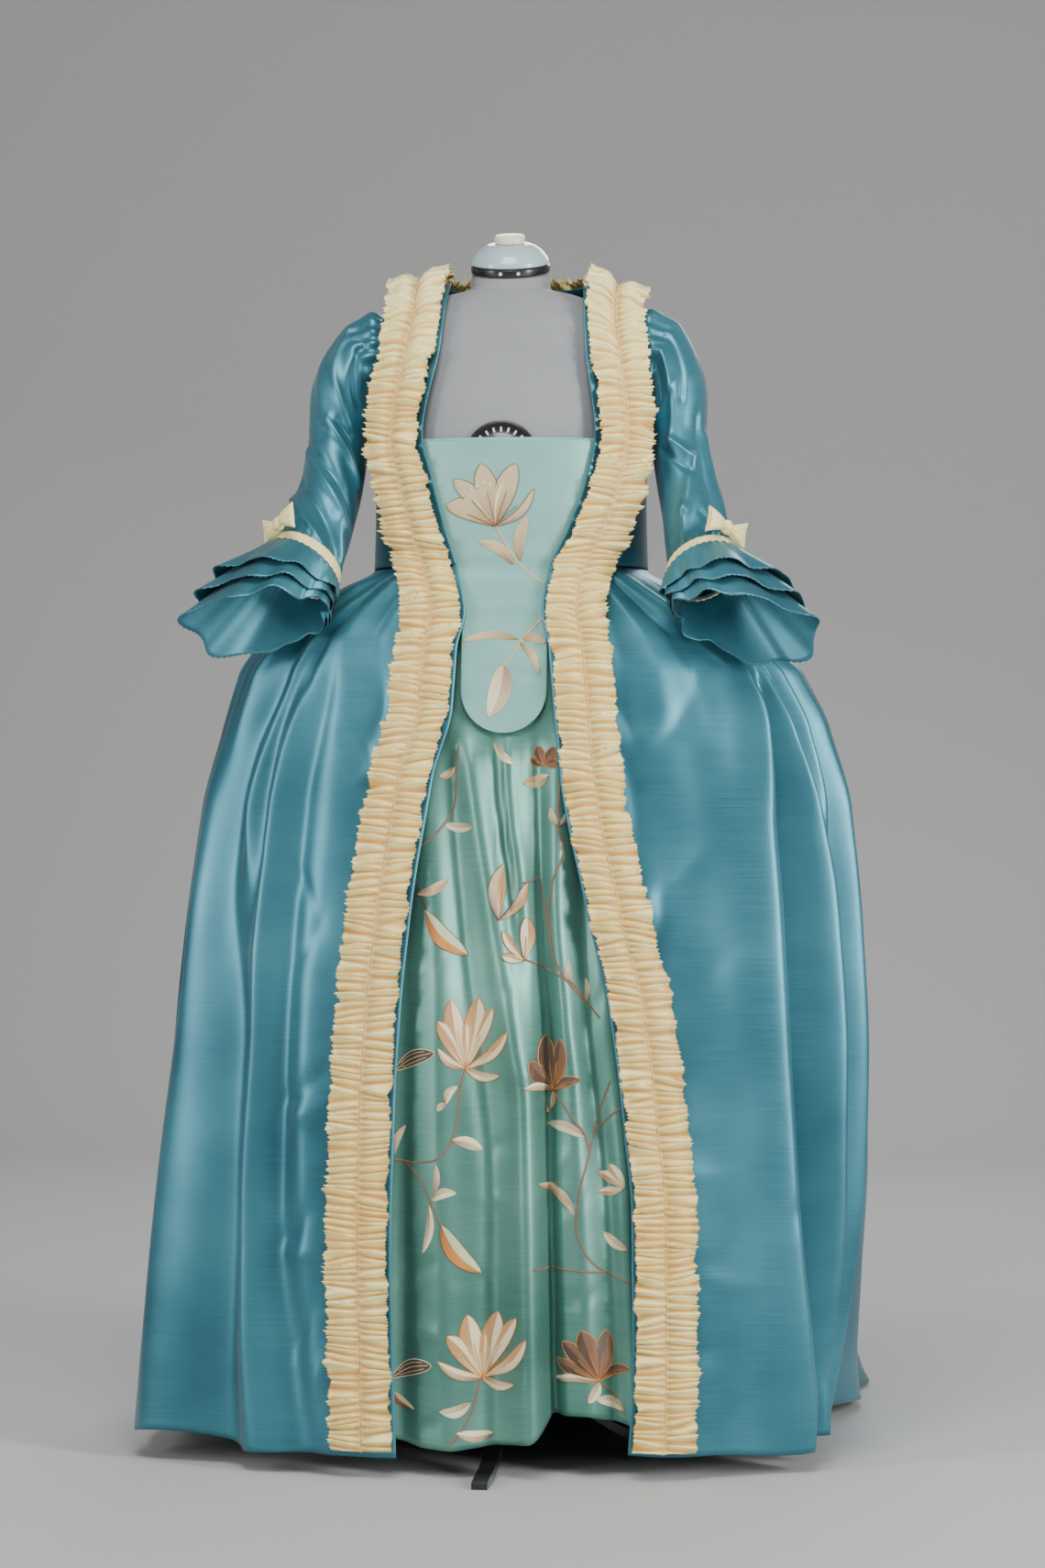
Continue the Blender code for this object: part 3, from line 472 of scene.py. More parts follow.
def rivets():
    """Two domed rivets on the front of the neck band."""
    points, faces = [], []
    for place in (-100.0, -74.0):
        turn = math.radians(place)
        out = np.array([math.cos(turn), math.sin(turn) * math.cos(NECK_TILT),
                        math.sin(turn) * math.sin(NECK_TILT)])
        middle = neck_rings(((0.0489, 0.0130),), 360)[0, int(place) % 360]
        aside_way = np.cross(out, [0.0, 0.0, 1.0])
        aside_way /= np.linalg.norm(aside_way)
        up_way = np.cross(aside_way, out)
        start = len(points)
        rings = ((0.0024, -0.0006), (0.0023, 0.0006), (0.0015, 0.0013), (0.0004, 0.0016))
        for radius, height in rings:
            for corner in range(12):
                bend = 2.0 * math.pi * corner / 12
                points.append(middle + aside_way * math.cos(bend) * radius
                              + up_way * math.sin(bend) * radius + out * height)
        for ring in range(3):
            for corner in range(12):
                beside = (corner + 1) % 12
                faces.append([start + ring * 12 + corner, start + ring * 12 + beside,
                              start + ring * 12 + 12 + beside, start + ring * 12 + 12 + corner])
        faces.append([start + 36 + corner for corner in range(12)])
        faces.append([start + corner for corner in range(12)][::-1])
    return mesh_from("band_rivets", points, faces, RIVET)


rivet_pair = rivets()
settle(rivet_pair, "knob_cream")


def station_for(surface, x, z):
    """Front stations at which a surface has the sideways places x."""
    x, z = np.broadcast_arrays(np.asarray(x, float), np.asarray(z, float))
    low, high = np.full(x.shape, -89.5), np.full(x.shape, 89.5)
    for _ in range(36):
        middle = (low + high) / 2.0
        short = surface(middle, z)[..., 0] < x
        low, high = np.where(short, middle, low), np.where(short, high, middle)
    return (low + high) / 2.0


def on_surface(surface, x, z, lift):
    """Points over a front surface at sideways places x and heights z, moved out by lift."""
    station = station_for(surface, x, z)
    here = surface(station, z)
    across = surface(station + 0.4, z) - surface(station - 0.4, z)
    upward = surface(station, np.asarray(z) + 0.002) - surface(station, np.asarray(z) - 0.002)
    normal = np.cross(across, upward)
    normal /= np.linalg.norm(normal, axis=-1, keepdims=True)
    return here + normal * np.asarray(lift)[..., None]


def chest_dial():
    """A round black plate with a raised rim, a ring of pale marks and a hub."""
    profile = ((0.0435, 0.0014), (0.0445, 0.0026), (0.0440, 0.0040), (0.0425, 0.0044),
               (0.0395, 0.0042), (0.0385, 0.0036), (0.0260, 0.0036), (0.0250, 0.0044),
               (0.0130, 0.0046), (0.0040, 0.0046))
    turn = np.radians(-np.arange(64) * 360.0 / 64)[None, :]
    radius = np.array([row[0] for row in profile])[:, None]
    lift = np.array([row[1] for row in profile])[:, None] * np.ones((1, 64))
    x, z = radius * np.cos(turn), 1.214 + radius * np.sin(turn)
    points = on_surface(torso_surface, x, z, lift)
    dial = mesh_from("dial", points.reshape(-1, 3), grid_faces(*points.shape[:2], True).tolist()
                     + [[9 * 64 + corner for corner in range(64)]], BLACK)
    settle(dial, "stand_black", "chest_dial")
    marks, faces = [], []
    for mark in range(24):
        middle = 2.0 * math.pi * mark / 24
        for radius, width in ((0.0300, 0.0022), (0.0335, 0.0026), (0.0365, 0.0022)):
            for side in (-1.0, 1.0):
                spread_angle = middle + side * width / radius / 2.0
                marks.append((radius * math.cos(spread_angle), 1.214 + radius * math.sin(spread_angle)))
        start = mark * 6
        faces += [[start, start + 1, start + 3, start + 2], [start + 2, start + 3, start + 5, start + 4]]
    marks = np.array(marks)
    points = on_surface(torso_surface, marks[:, 0], marks[:, 1], np.full(len(marks), 0.0040))
    ring = mesh_from("dial_marks", points, faces, RIVET)
    thick = ring.modifiers.new("thick", "SOLIDIFY")
    thick.thickness = 0.0003
    settle(ring, "knob_cream")


chest_dial()
for node in ("form_pole", "stand_hub", "stand_leg_front", "stand_leg_right", "stand_leg_back",
             "stand_leg_left"):
    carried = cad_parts[node]
    carried.data.materials.clear()
    carried.data.materials.append(BLACK)


# ---------------------------------------------------------------- gown of shot taffeta
# An open gown of crisp blue-green silk taffeta, shot with a brown weft, lined with itself. Its
# skirt panels are gathered into the side waists over wide hips, and stand in long soft folds.
# Half widths at the left, right and rear, depth before and behind, and squareness, by height.
GOWN = (
    (1.446, 0.070, 0.070, 0.070, 0.028, 0.050, 2.3),
    (1.438, 0.094, 0.096, 0.094, 0.040, 0.060, 2.3),
    (1.425, 0.125, 0.127, 0.125, 0.058, 0.075, 2.3),
    (1.400, 0.154, 0.156, 0.154, 0.080, 0.094, 2.3),
    (1.360, 0.163, 0.165, 0.163, 0.102, 0.106, 2.3),
    (1.300, 0.166, 0.168, 0.166, 0.128, 0.113, 2.3),
    (1.240, 0.166, 0.168, 0.166, 0.139, 0.112, 2.3),
    (1.160, 0.166, 0.168, 0.166, 0.134, 0.108, 2.3),
    (1.085, 0.168, 0.170, 0.168, 0.126, 0.112, 2.3),
    (1.065, 0.206, 0.202, 0.196, 0.128, 0.135, 2.3),
    (1.030, 0.268, 0.262, 0.250, 0.130, 0.165, 2.3),
    (0.995, 0.314, 0.316, 0.295, 0.134, 0.190, 2.3),
    (0.955, 0.339, 0.360, 0.328, 0.140, 0.212, 2.3),
    (0.890, 0.359, 0.390, 0.355, 0.149, 0.237, 2.3),
    (0.790, 0.385, 0.416, 0.390, 0.163, 0.268, 2.3),
    (0.650, 0.405, 0.428, 0.420, 0.179, 0.310, 2.3),
    (0.500, 0.422, 0.434, 0.445, 0.191, 0.358, 2.4),
    (0.350, 0.438, 0.430, 0.462, 0.200, 0.415, 2.5),
    (0.200, 0.452, 0.416, 0.466, 0.206, 0.490, 2.7),
    (0.100, 0.461, 0.403, 0.472, 0.209, 0.565, 3.0),
    (0.030, 0.465, 0.393, 0.492, 0.211, 0.650, 3.2),
    (0.004, 0.466, 0.391, 0.505, 0.212, 0.690, 3.2),
)
# How far out the gown's front edges lie, left and right, by height
EDGES = (
    (1.446, 0.070, 0.092),
    (1.360, 0.076, 0.098),
    (1.243, 0.096, 0.112),
    (1.190, 0.084, 0.102),
    (1.129, 0.068, 0.080),
    (1.076, 0.052, 0.056),
    (1.030, 0.043, 0.049),
    (0.985, 0.053, 0.058),
    (0.917, 0.057, 0.064),
    (0.830, 0.080, 0.073),
    (0.664, 0.104, 0.106),
    (0.555, 0.115, 0.133),
    (0.447, 0.121, 0.147),
    (0.300, 0.124, 0.160),
    (0.120, 0.119, 0.161),
    (0.004, 0.117, 0.156),
)
# Folds of the skirt, each followed down it as height, station (degrees round from centre front,
# plus to the right, 180 behind), half width in degrees and height (troughs are negative).
FOLDS = (
    # left front, from the side round to the trimming
    ((1.05, -66, 4.0, 0.003), (0.80, -69, 6.0, 0.007), (0.50, -63, 7.5, 0.012), (0.02, -64, 9.0, 0.017)),
    ((1.06, -52, 2.6, -0.006), (0.97, -50, 3.2, -0.009), (0.86, -57, 4.0, -0.013),
     (0.73, -58, 5.0, -0.015), (0.50, -50, 6.0, -0.019), (0.22, -49, 6.4, -0.025), (0.02, -48, 7.5, -0.029)),
    ((1.03, -44, 1.8, 0.004), (0.93, -47, 2.0, 0.007), (0.80, -51, 2.4, 0.008), (0.69, -49, 2.2, 0.0)),
    ((0.99, -44, 1.6, -0.004), (0.86, -47, 2.4, -0.007), (0.74, -46, 2.4, -0.006), (0.62, -45, 2.4, 0.0)),
    ((0.98, -38, 2.4, 0.003), (0.86, -42, 2.6, 0.009), (0.65, -41.5, 2.8, 0.010),
     (0.40, -42, 3.0, 0.012), (0.19, -39, 3.2, 0.013), (0.02, -35, 4.5, 0.014)),
    ((0.93, -34, 2.2, -0.003), (0.80, -36, 2.8, -0.007), (0.60, -36.5, 3.2, -0.009),
     (0.30, -35.5, 3.6, -0.012), (0.15, -32, 4.0, -0.012), (0.02, -28, 5.0, -0.010)),
    ((0.80, -28, 3.5, 0.002), (0.55, -29, 4.5, 0.005), (0.25, -27, 3.4, 0.006), (0.02, -22, 3.0, 0.005)),
    # gathers fanning from the left side waist
    ((1.083, -38, 1.6, 0.004), (1.03, -35, 2.6, 0.007), (0.93, -31, 4.5, 0.005), (0.78, -29, 6.0, 0.001)),
    ((1.083, -31, 1.3, -0.004), (1.03, -28, 1.8, -0.005), (0.95, -25, 3.0, -0.003), (0.88, -24, 3.0, 0.0)),
    ((1.083, -45, 1.4, -0.005), (1.02, -42, 1.8, -0.007), (0.93, -40, 2.2, -0.003), (0.86, -39, 2.5, 0.0)),
    ((1.083, -60, 1.8, 0.004), (1.02, -58, 2.4, 0.005), (0.93, -62, 3.0, 0.004), (0.84, -64, 3.0, 0.0)),
    ((1.083, -74, 1.8, -0.004), (1.00, -75, 2.8, -0.006), (0.86, -79, 4.0, -0.005),
     (0.02, -84, 6.0, -0.012)),
    # right front
    ((1.083, 33, 2.0, 0.004), (1.02, 30, 3.2, 0.007), (0.94, 27, 4.5, 0.006), (0.85, 25, 4.5, 0.0)),
    ((1.083, 41, 1.5, -0.004), (1.02, 39, 2.0, -0.006), (0.94, 38, 3.0, -0.004), (0.86, 37, 3.0, 0.0)),
    ((1.083, 26, 1.6, -0.003), (1.03, 24, 2.0, -0.004), (0.94, 21, 2.4, -0.003), (0.86, 20, 2.4, 0.0)),
    ((1.06, 50, 1.8, 0.003), (0.97, 51, 2.2, 0.008), (0.92, 50.5, 2.8, 0.013), (0.77, 45, 4.2, 0.013),
     (0.55, 46, 5.0, 0.014), (0.37, 48, 5.5, 0.016), (0.20, 53, 5.5, 0.020), (0.02, 62, 5.5, 0.024)),
    ((0.96, 57, 1.2, -0.008), (0.89, 54, 1.5, -0.017), (0.80, 53, 2.2, -0.024), (0.69, 54.5, 3.0, -0.026),
     (0.50, 55, 3.6, -0.028), (0.30, 59, 3.8, -0.030), (0.10, 68, 3.4, -0.032)),
    ((1.00, 57, 1.6, 0.004), (0.93, 58, 2.0, 0.008), (0.84, 59.5, 2.4, 0.011), (0.69, 63, 3.6, 0.013),
     (0.50, 63.5, 4.4, 0.016), (0.22, 67, 4.8, 0.018), (0.02, 75, 4.2, 0.018)),
    ((1.00, 61, 1.2, -0.005), (0.92, 62, 1.4, -0.009), (0.84, 64.5, 1.8, -0.007), (0.72, 67, 2.0, 0.0)),
    ((1.02, 65, 1.4, 0.004), (0.90, 67, 1.8, 0.008), (0.80, 69, 2.0, 0.006), (0.70, 70, 2.4, 0.0)),
    ((1.02, 70, 1.5, -0.005), (0.88, 71, 2.0, -0.010), (0.66, 73, 3.4, -0.020), (0.44, 75, 4.2, -0.026),
     (0.02, 82, 4.6, -0.026)),
    ((1.03, 76, 1.6, 0.004), (0.86, 78, 2.4, 0.008), (0.50, 81, 4.0, 0.014), (0.02, 88, 5.0, 0.016)),
    # right side and back
    ((1.04, 84, 2.0, -0.005), (0.86, 87, 3.0, -0.009), (0.50, 92, 5.0, -0.020), (0.02, 96, 5.5, -0.032)),
    ((1.04, 92, 2.0, 0.004), (0.86, 96, 3.0, 0.007), (0.50, 103, 5.0, 0.012), (0.02, 107, 6.0, 0.016)),
    ((1.04, 100, 2.0, -0.004), (0.88, 104, 2.6, -0.007), (0.50, 115, 4.4, -0.015),
     (0.02, 119, 5.0, -0.024)),
    ((1.04, 108, 2.2, 0.004), (0.88, 112, 2.8, 0.006), (0.50, 126, 4.4, 0.012), (0.02, 130, 5.0, 0.022)),
    ((1.00, 134, 2.6, -0.003), (0.70, 141, 4.0, -0.010), (0.30, 146, 4.6, -0.018),
     (0.02, 147, 5.2, -0.026)),
    ((0.98, 152, 3.0, 0.003), (0.70, 158, 4.2, 0.009), (0.30, 161, 5.0, 0.014), (0.02, 162, 5.6, 0.020)),
    ((0.98, 171, 3.0, -0.003), (0.70, 173, 4.0, -0.010), (0.30, 174, 4.4, -0.016),
     (0.02, 175, 5.0, -0.024)),
    ((0.98, 186, 3.0, 0.003), (0.70, 189, 4.4, 0.010), (0.30, 190, 5.2, 0.015), (0.02, 191, 6.0, 0.022)),
    ((0.98, 203, 3.0, -0.003), (0.70, 205, 4.0, -0.010), (0.30, 206, 4.6, -0.018),
     (0.02, 207, 5.2, -0.028)),
    ((1.00, 214, 2.6, 0.003), (0.70, 218, 4.0, 0.008), (0.30, 221, 4.4, 0.013), (0.02, 222, 5.0, 0.018)),
    ((1.04, 240, 2.4, -0.004), (0.86, 238, 3.0, -0.008), (0.50, 235, 4.4, -0.016),
     (0.02, 234, 5.0, -0.024)),
    ((1.04, 250, 2.4, 0.004), (0.86, 249, 3.4, 0.007), (0.50, 247, 5.0, 0.012), (0.02, 246, 6.0, 0.018)),
    ((1.04, 261, 2.2, -0.004), (0.86, 260, 3.2, -0.008), (0.50, 260, 4.6, -0.014),
     (0.02, 260, 5.2, -0.022)),
)
# Short creases in the front panels: sideways place, height, lean from upright in degrees, half
# length, half width and height
CREASES = (
    (-0.236, 0.455, 62, 0.040, 0.012, -0.0040),
    (-0.222, 0.430, 75, 0.030, 0.010, 0.0032),
    (-0.246, 0.290, 55, 0.045, 0.013, -0.0042),
    (-0.228, 0.262, 80, 0.034, 0.011, 0.0034),
    (-0.236, 0.170, 40, 0.050, 0.014, -0.0036),
    (-0.205, 0.120, 28, 0.045, 0.012, 0.0036),
    (-0.220, 0.640, 30, 0.040, 0.012, -0.0026),
    (-0.236, 0.700, -38, 0.045, 0.010, -0.0028),
    (-0.166, 0.865, -28, 0.035, 0.009, -0.0034),
    (-0.158, 0.835, 40, 0.028, 0.008, 0.0028),
    (-0.145, 0.905, 12, 0.034, 0.009, -0.0030),
    (0.152, 0.900, -30, 0.055, 0.013, -0.0046),
    (0.205, 0.885, 42, 0.055, 0.014, -0.0040),
    (0.170, 0.870, 2, 0.022, 0.016, 0.0050),
    (0.165, 0.800, -8, 0.060, 0.014, -0.0042),
    (0.128, 0.835, 20, 0.030, 0.010, 0.0026),
    (0.150, 0.712, -35, 0.048, 0.012, -0.0044),
    (0.212, 0.700, 50, 0.050, 0.013, -0.0042),
    (0.176, 0.676, 0, 0.020, 0.016, 0.0048),
    (0.185, 0.628, 24, 0.055, 0.012, -0.0036),
    (0.238, 0.590, 58, 0.050, 0.014, 0.0034),
    (0.215, 0.395, 84, 0.052, 0.012, -0.0044),
    (0.270, 0.418, 72, 0.046, 0.012, 0.0034),
    (0.232, 0.360, 96, 0.044, 0.011, 0.0038),
    (0.222, 0.250, 78, 0.044, 0.012, -0.0042),
    (0.272, 0.230, 100, 0.036, 0.012, 0.0032),
    (0.236, 0.150, 88, 0.036, 0.011, -0.0028),
    (0.325, 0.300, 40, 0.040, 0.012, -0.0030),
)
WAIST = 1.085
SIDES = (("left", -1.0), ("right", 1.0))


def wrapped(station):
    """Stations between -90 and 270."""
    return (station + 90.0) % 360.0 - 90.0


def fold_height(station, z):
    """Height of the folds above the plain skirt."""
    place = wrapped(station)
    total = np.zeros(np.broadcast(place, z).shape)
    for fold in FOLDS:
        middle, spread, tall = table_at(fold, z)
        fade = smooth_step(fold[-1][0] - 0.10, fold[-1][0], z) if fold[-1][0] > 0.5 else 1.0
        fade = fade * smooth_step(fold[0][0] + 0.07, fold[0][0], z)
        away = (place - middle) / (1.25 * spread)
        total += tall * fade * np.exp(-np.abs(away) ** 1.7)
    return total * smooth_step(WAIST, WAIST - 0.012, z) * mix(1.0, 1.35, smooth_step(1.0, 0.7, z))


def crease_height(x, y, z):
    """Height of the short creases, on the front only."""
    total = np.zeros(np.broadcast(x, z).shape)
    for side, up, lean, length, width, tall in CREASES:
        turn = math.radians(lean)
        along = (x - side) * math.sin(turn) + (z - up) * math.cos(turn)
        beside = (x - side) * math.cos(turn) - (z - up) * math.sin(turn)
        bow = beside + 0.18 * along * along / length
        total += tall * np.exp(-(along / length) ** 2 - np.abs(bow / width) ** 1.5)
    return total * (y < 0.0)


def soft_ripple(station, z, seed, count=26, size=0.0011):
    """Slight uneven buckling, mostly lengthwise."""
    chance = random.Random(seed)
    total = np.zeros(np.broadcast(station, z).shape)
    for _ in range(count):
        across = chance.uniform(6.0, 34.0) * chance.choice((-1.0, 1.0))
        down = chance.uniform(2.0, 16.0)
        start = chance.uniform(0.0, 6.3)
        total += np.sin(np.radians(station) * across + z * down + start)
    return total * size / math.sqrt(count)


def plain_gown(station, z):
    left, right, rear, front, back, square = table_at(GOWN, z)
    place = wrapped(station)
    behind = place > 90.0
    side = np.where((place < 0.0) | (place > 180.0), left, right)
    square = np.where(behind, square, 2.3)
    turned = np.where(place <= 180.0, place, 360.0 - place)
    half = mix(side, rear, np.where(behind, smooth_step(90.0, 132.0, turned), 0.0))
    return plan_point(station, half, np.where(behind, back, front), square)


def gown_surface(station, z):
    """Outer face of the gown."""
    station, z = np.broadcast_arrays(np.asarray(station, float), np.asarray(z, float))
    x, y = plain_gown(station, z)
    reach = np.hypot(x, y)
    skirt = smooth_step(WAIST, WAIST - 0.08, z)
    tall = fold_height(station, z) + crease_height(x, y, z) + soft_ripple(station, z, 4) * skirt
    grow = 1.0 + tall / reach
    return np.stack([x * grow, y * grow, z], -1)


def lifted(surface, station, z, lift):
    """Points moved out from a surface, square to it."""
    station, z = np.broadcast_arrays(np.asarray(station, float), np.asarray(z, float))
    across = surface(station + 0.4, z) - surface(station - 0.4, z)
    upward = surface(station, z + 0.002) - surface(station, z - 0.002)
    normal = np.cross(across, upward)
    normal /= np.linalg.norm(normal, axis=-1, keepdims=True)
    return surface(station, z) + normal * np.asarray(lift)[..., None]


def smooth_front(station, z):
    """The gown's plain front, without folds: what its edges are measured on."""
    x, y = plain_gown(station, z)
    return np.stack([x, y, np.broadcast_to(z, x.shape)], -1)


def edge_station(sign, z, inward):
    """Stations of a line that runs down a gown front, this far in from its edge."""
    left, right = table_at(EDGES, z)
    reach = (left if sign < 0.0 else right) + inward
    widest = np.abs(plain_gown(sign * 89.0, z)[0]) - 0.003
    return station_for(smooth_front, sign * np.minimum(reach, widest), z)


def armhole_station(z):
    """Stations of a bodice panel's side line, which bows in round the armhole."""
    inside = np.clip(1.0 - ((z - 1.338) / 0.072) ** 2, 0.0, 1.0)
    return 89.7 - 24.0 * np.sqrt(inside)


def hem_height(station):
    """Height of the hem: it swings a little in front, and drops to the train behind."""
    place = wrapped(station)
    behind = np.abs(place - 180.0)
    swing = 0.006 * np.sin(np.radians(place) * 5.0 + 0.6) + 0.003 * np.sin(np.radians(place) * 11.0)
    front = 0.030 + swing * smooth_step(92.0, 110.0, behind)
    return mix(0.004, front, smooth_step(62.0, 92.0, behind))


def skirt_heights(station, down):
    """Heights of the skirt's rows: down runs from 0 at the waist to 1 at the hem."""
    return mix(WAIST - 0.001, hem_height(station), down)


def panel_grid(surface, first, last, columns, heights):
    """A grid of points between two side lines given as stations at each height."""
    part = even(0.0, 1.0, columns)[None, :]
    station = mix(np.asarray(first)[:, None], np.asarray(last)[:, None], part)
    return surface(station, heights[:, None] + np.zeros_like(station))


def taffeta_material():
    """Blue-green taffeta shot with brown: bright along its folds, brownish where it turns away."""
    return woven_material("shot_taffeta", display(32, 84, 100), display(80, 146, 162), 0.40, 0.58,
                          0.30, (0.66, 0.52, 0.46), 0.00008, 3000.0, 0.30)


TAFFETA = taffeta_material()


def build_bodice():
    heights = np.concatenate([even(1.438, 1.40, 14), even(1.395, 1.0858, 66)])
    for side, sign in SIDES:
        edge = edge_station(sign, heights, 0.0)
        far = sign * armhole_station(heights)
        first, last = (edge, far) if sign > 0.0 else (far, edge)
        panel = cloth("front_bodice_" + side, panel_grid(gown_surface, first, last, 64, heights), TAFFETA)
        settle(panel, "gown_taffeta", "bodice_front_" + side)
    first = 180.6 - armhole_station(heights)
    back = cloth("back_bodice", panel_grid(gown_surface, first, 360.0 - first, 120, heights), TAFFETA)
    settle(back, "gown_taffeta", "bodice_back")


def build_skirts():
    down = even(0.0, 1.0, 160) ** 1.12
    for side, sign in SIDES:
        columns = 120
        part = even(0.0, 1.0, columns)[None, :]
        rough = skirt_heights(sign * 50.0, down)
        edge = edge_station(sign, rough, 0.0)[:, None]
        station = mix(edge, sign * 87.5, part)
        station = station if sign > 0.0 else station[:, ::-1]
        heights = skirt_heights(station, down[:, None])
        panel = cloth("front_skirt_" + side, gown_surface(station, heights), TAFFETA)
        settle(panel, "gown_taffeta", "skirt_front_" + side)
        line = even(87.8, 131.7, 64)
        line = line if sign > 0.0 else 360.0 - line[::-1]
        heights = skirt_heights(line[None, :], down[:, None])
        flank = cloth("side_skirt_" + side, gown_surface(line[None, :] + 0.0 * heights, heights), TAFFETA)
        settle(flank, "gown_taffeta", "skirt_side_" + side)


# How far the sack back hangs off the fitted bodice, by height
HANG = (
    (1.446, 0.008),
    (1.400, 0.014),
    (1.300, 0.040),
    (1.200, 0.066),
    (1.085, 0.084),
    (1.030, 0.044),
    (0.955, 0.012),
    (0.850, 0.000),
    (0.004, 0.000),
)


def sack_surface(station, z):
    """Outer face of the sack back: box pleats, crisp at the neck and lost in the skirt."""
    station, z = np.broadcast_arrays(np.asarray(station, float), np.asarray(z, float))
    off = table_at(HANG, z)[0]
    across = wrapped(station) - 180.0
    bulge = 1.0 - smooth_step(0.35, 1.0, np.minimum(np.abs(across) / 48.0, 1.0))
    wave = np.abs(np.sin(np.radians(across * 7.5 * mix(1.0, 0.97, smooth_step(1.44, 0.9, z)))))
    raised = smooth_step(0.40, 0.56, wave) * 0.0065 * smooth_step(0.62, 1.32, z)
    raised = np.where(np.abs(across) < 46.5, raised, 0.0)
    point = gown_surface(station, z)
    outward = point * [1.0, 1.0, 0.0]
    outward /= np.linalg.norm(outward, axis=-1, keepdims=True)
    return point + outward * (off * bulge + raised)[..., None]


def build_sack():
    stations = even(132.0, 228.0, 136)[None, :]
    above = np.repeat(even(1.426, WAIST + 0.002, 50)[:, None], 136, 1)
    below = skirt_heights(stations, even(0.0, 1.0, 150)[:, None])
    heights = np.vstack([above, below])
    lift = 0.007 * smooth_step(WAIST - 0.02, WAIST, heights)
    back = cloth("sack_train", lifted(sack_surface, stations + 0.0 * heights, heights, lift), TAFFETA)
    settle(back, "gown_taffeta", "sack_back")


build_bodice()
build_skirts()
build_sack()


# ---------------------------------------------------------------- ruched trimming
# A strip of gold silk with pinked edges is gathered along its middle and sewn down there, so
# that two rows of crisp, uneven little pleats stand out to its sides. One runs down each front
# edge from behind the shoulder, and a short one crosses the back of the neck.
TRIM_WIDTH = 0.074
GOLD_SILK = woven_material("gold_silk", display(252, 226, 138), display(255, 248, 186), 0.44, 0.05,
                           0.20, (1.0, 0.88, 0.62), 0.00015, 3200.0)


def ruched_material():
    """The gold silk again, with painted shade: a deeper gold down in the valleys of its pleats, where shade
    would fall.
    """
    made = GOLD_SILK.copy()
    made.name = "ruched_gold_silk_painted_shade"
    nodes = Nodes(made.node_tree)
    shader = made.node_tree.nodes["Principled BSDF"]
    ramp = shader.inputs["Base Color"].links[0].from_node
    shade = nodes.add("ShaderNodeUVMap", uv_map="shade")
    split = nodes.add("ShaderNodeSeparateXYZ")
    nodes.join(shade.outputs[0], split.inputs[0])
    # painted shade: a low pleat height share from the 'shade' UV map darkens the gold towards this deep
    # colour, down in the pleats
    deep = nodes.add("ShaderNodeValToRGB")
    deep.color_ramp.elements[0].color = (*display(204, 144, 50), 1.0)
    deep.color_ramp.elements[1].position = 0.46
    deep.color_ramp.elements[1].color = (1.0, 1.0, 1.0, 1.0)
    nodes.join(split.outputs[0], deep.inputs[0])
    both = nodes.add("ShaderNodeMix", data_type="RGBA", blend_type="MULTIPLY")
    both.inputs["Factor"].default_value = 0.85
    nodes.join(ramp.outputs[0], both.inputs["A"])
    nodes.join(deep.outputs[0], both.inputs["B"])
    nodes.join(both.outputs["Result"], shader.inputs["Base Color"])
    return made


RUCHED = ruched_material()


def shoulder_surface(x, y):
    """The gown's surface over the shoulder, found from its place in plan."""
    low, high = np.full(x.shape, 1.30), np.full(x.shape, 1.446)
    for _ in range(30):
        z = (low + high) / 2.0
        left, right, _, front, back, _ = table_at(GOWN, z)
        half = np.where(x < 0.0, left, right)
        depth = np.where(y < 0.0, front, back)
        inside = (np.abs(x) / half) ** 2.3 + (np.abs(y) / depth) ** 2.3 < 1.0
        low, high = np.where(inside, z, low), np.where(inside, high, z)
    return np.stack([x, y, low], -1)


def trim_lines(sign):
    """The strip's inner edge, its middle and its outer edge, from behind the shoulder down."""
    parts = np.array([0.0, 0.5, 1.0])
    y = even(0.034, -0.064, 12)[:, None] + np.zeros(3)
    reach = table_at(EDGES, np.array(1.438))[0 if sign < 0.0 else 1] + 0.003
    x = sign * (reach + TRIM_WIDTH * parts) + np.zeros_like(y)
    over = shoulder_surface(x, y)
    over[..., 2] = np.maximum(over[..., 2], over[:, 1:2, 2] - 0.010) + 0.015
    z = np.concatenate([even(1.350, 0.20, 150), even(0.195, 0.032, 20)])
    station = np.stack([edge_station(sign, z, 0.003 + TRIM_WIDTH * part) for part in parts], 1)
    on_gown = lifted(gown_surface, station, z[:, None], 0.0052)
    first = station[:, 0]
    along = smooth_front(first + sign, z) - smooth_front(first, z)
    along = along * [1.0, 0.75, 0.0]
    along /= np.linalg.norm(along, axis=-1, keepdims=True)
    flat = mix(0.25, 1.0, smooth_step(1.00, 1.24, z))[:, None, None]
    straight = on_gown[:, :1] + along[:, None] * (TRIM_WIDTH * parts)[None, :, None]
    straight = straight - parts[None, :, None] * [0.0, 0.005, 0.0]
    rows = np.concatenate([over, mix(on_gown, straight, flat)])
    return rows


def evenly_along(rows, step):
    """Rows of points moved to even steps down their middle line, on a smoothed path."""
    middle = rows[:, rows.shape[1] // 2]
    reach = np.concatenate([[0.0], np.cumsum(np.linalg.norm(np.diff(middle, axis=0), axis=1))])
    coarse = np.linspace(0.0, reach[-1], int(reach[-1] / 0.012))
    table = rows.reshape(len(rows), -1)
    knots = np.stack([np.interp(coarse, reach, table[:, k]) for k in range(table.shape[1])], 1)
    for _ in range(2):
        knots[1:-1] = (knots[:-2] + 2.0 * knots[1:-1] + knots[2:]) / 4.0
    places = np.arange(0.0, reach[-1], step)
    fine = table_at(np.column_stack([coarse, knots]), places)
    return places, np.stack(list(fine), -1).reshape(len(places), *rows.shape[1:])


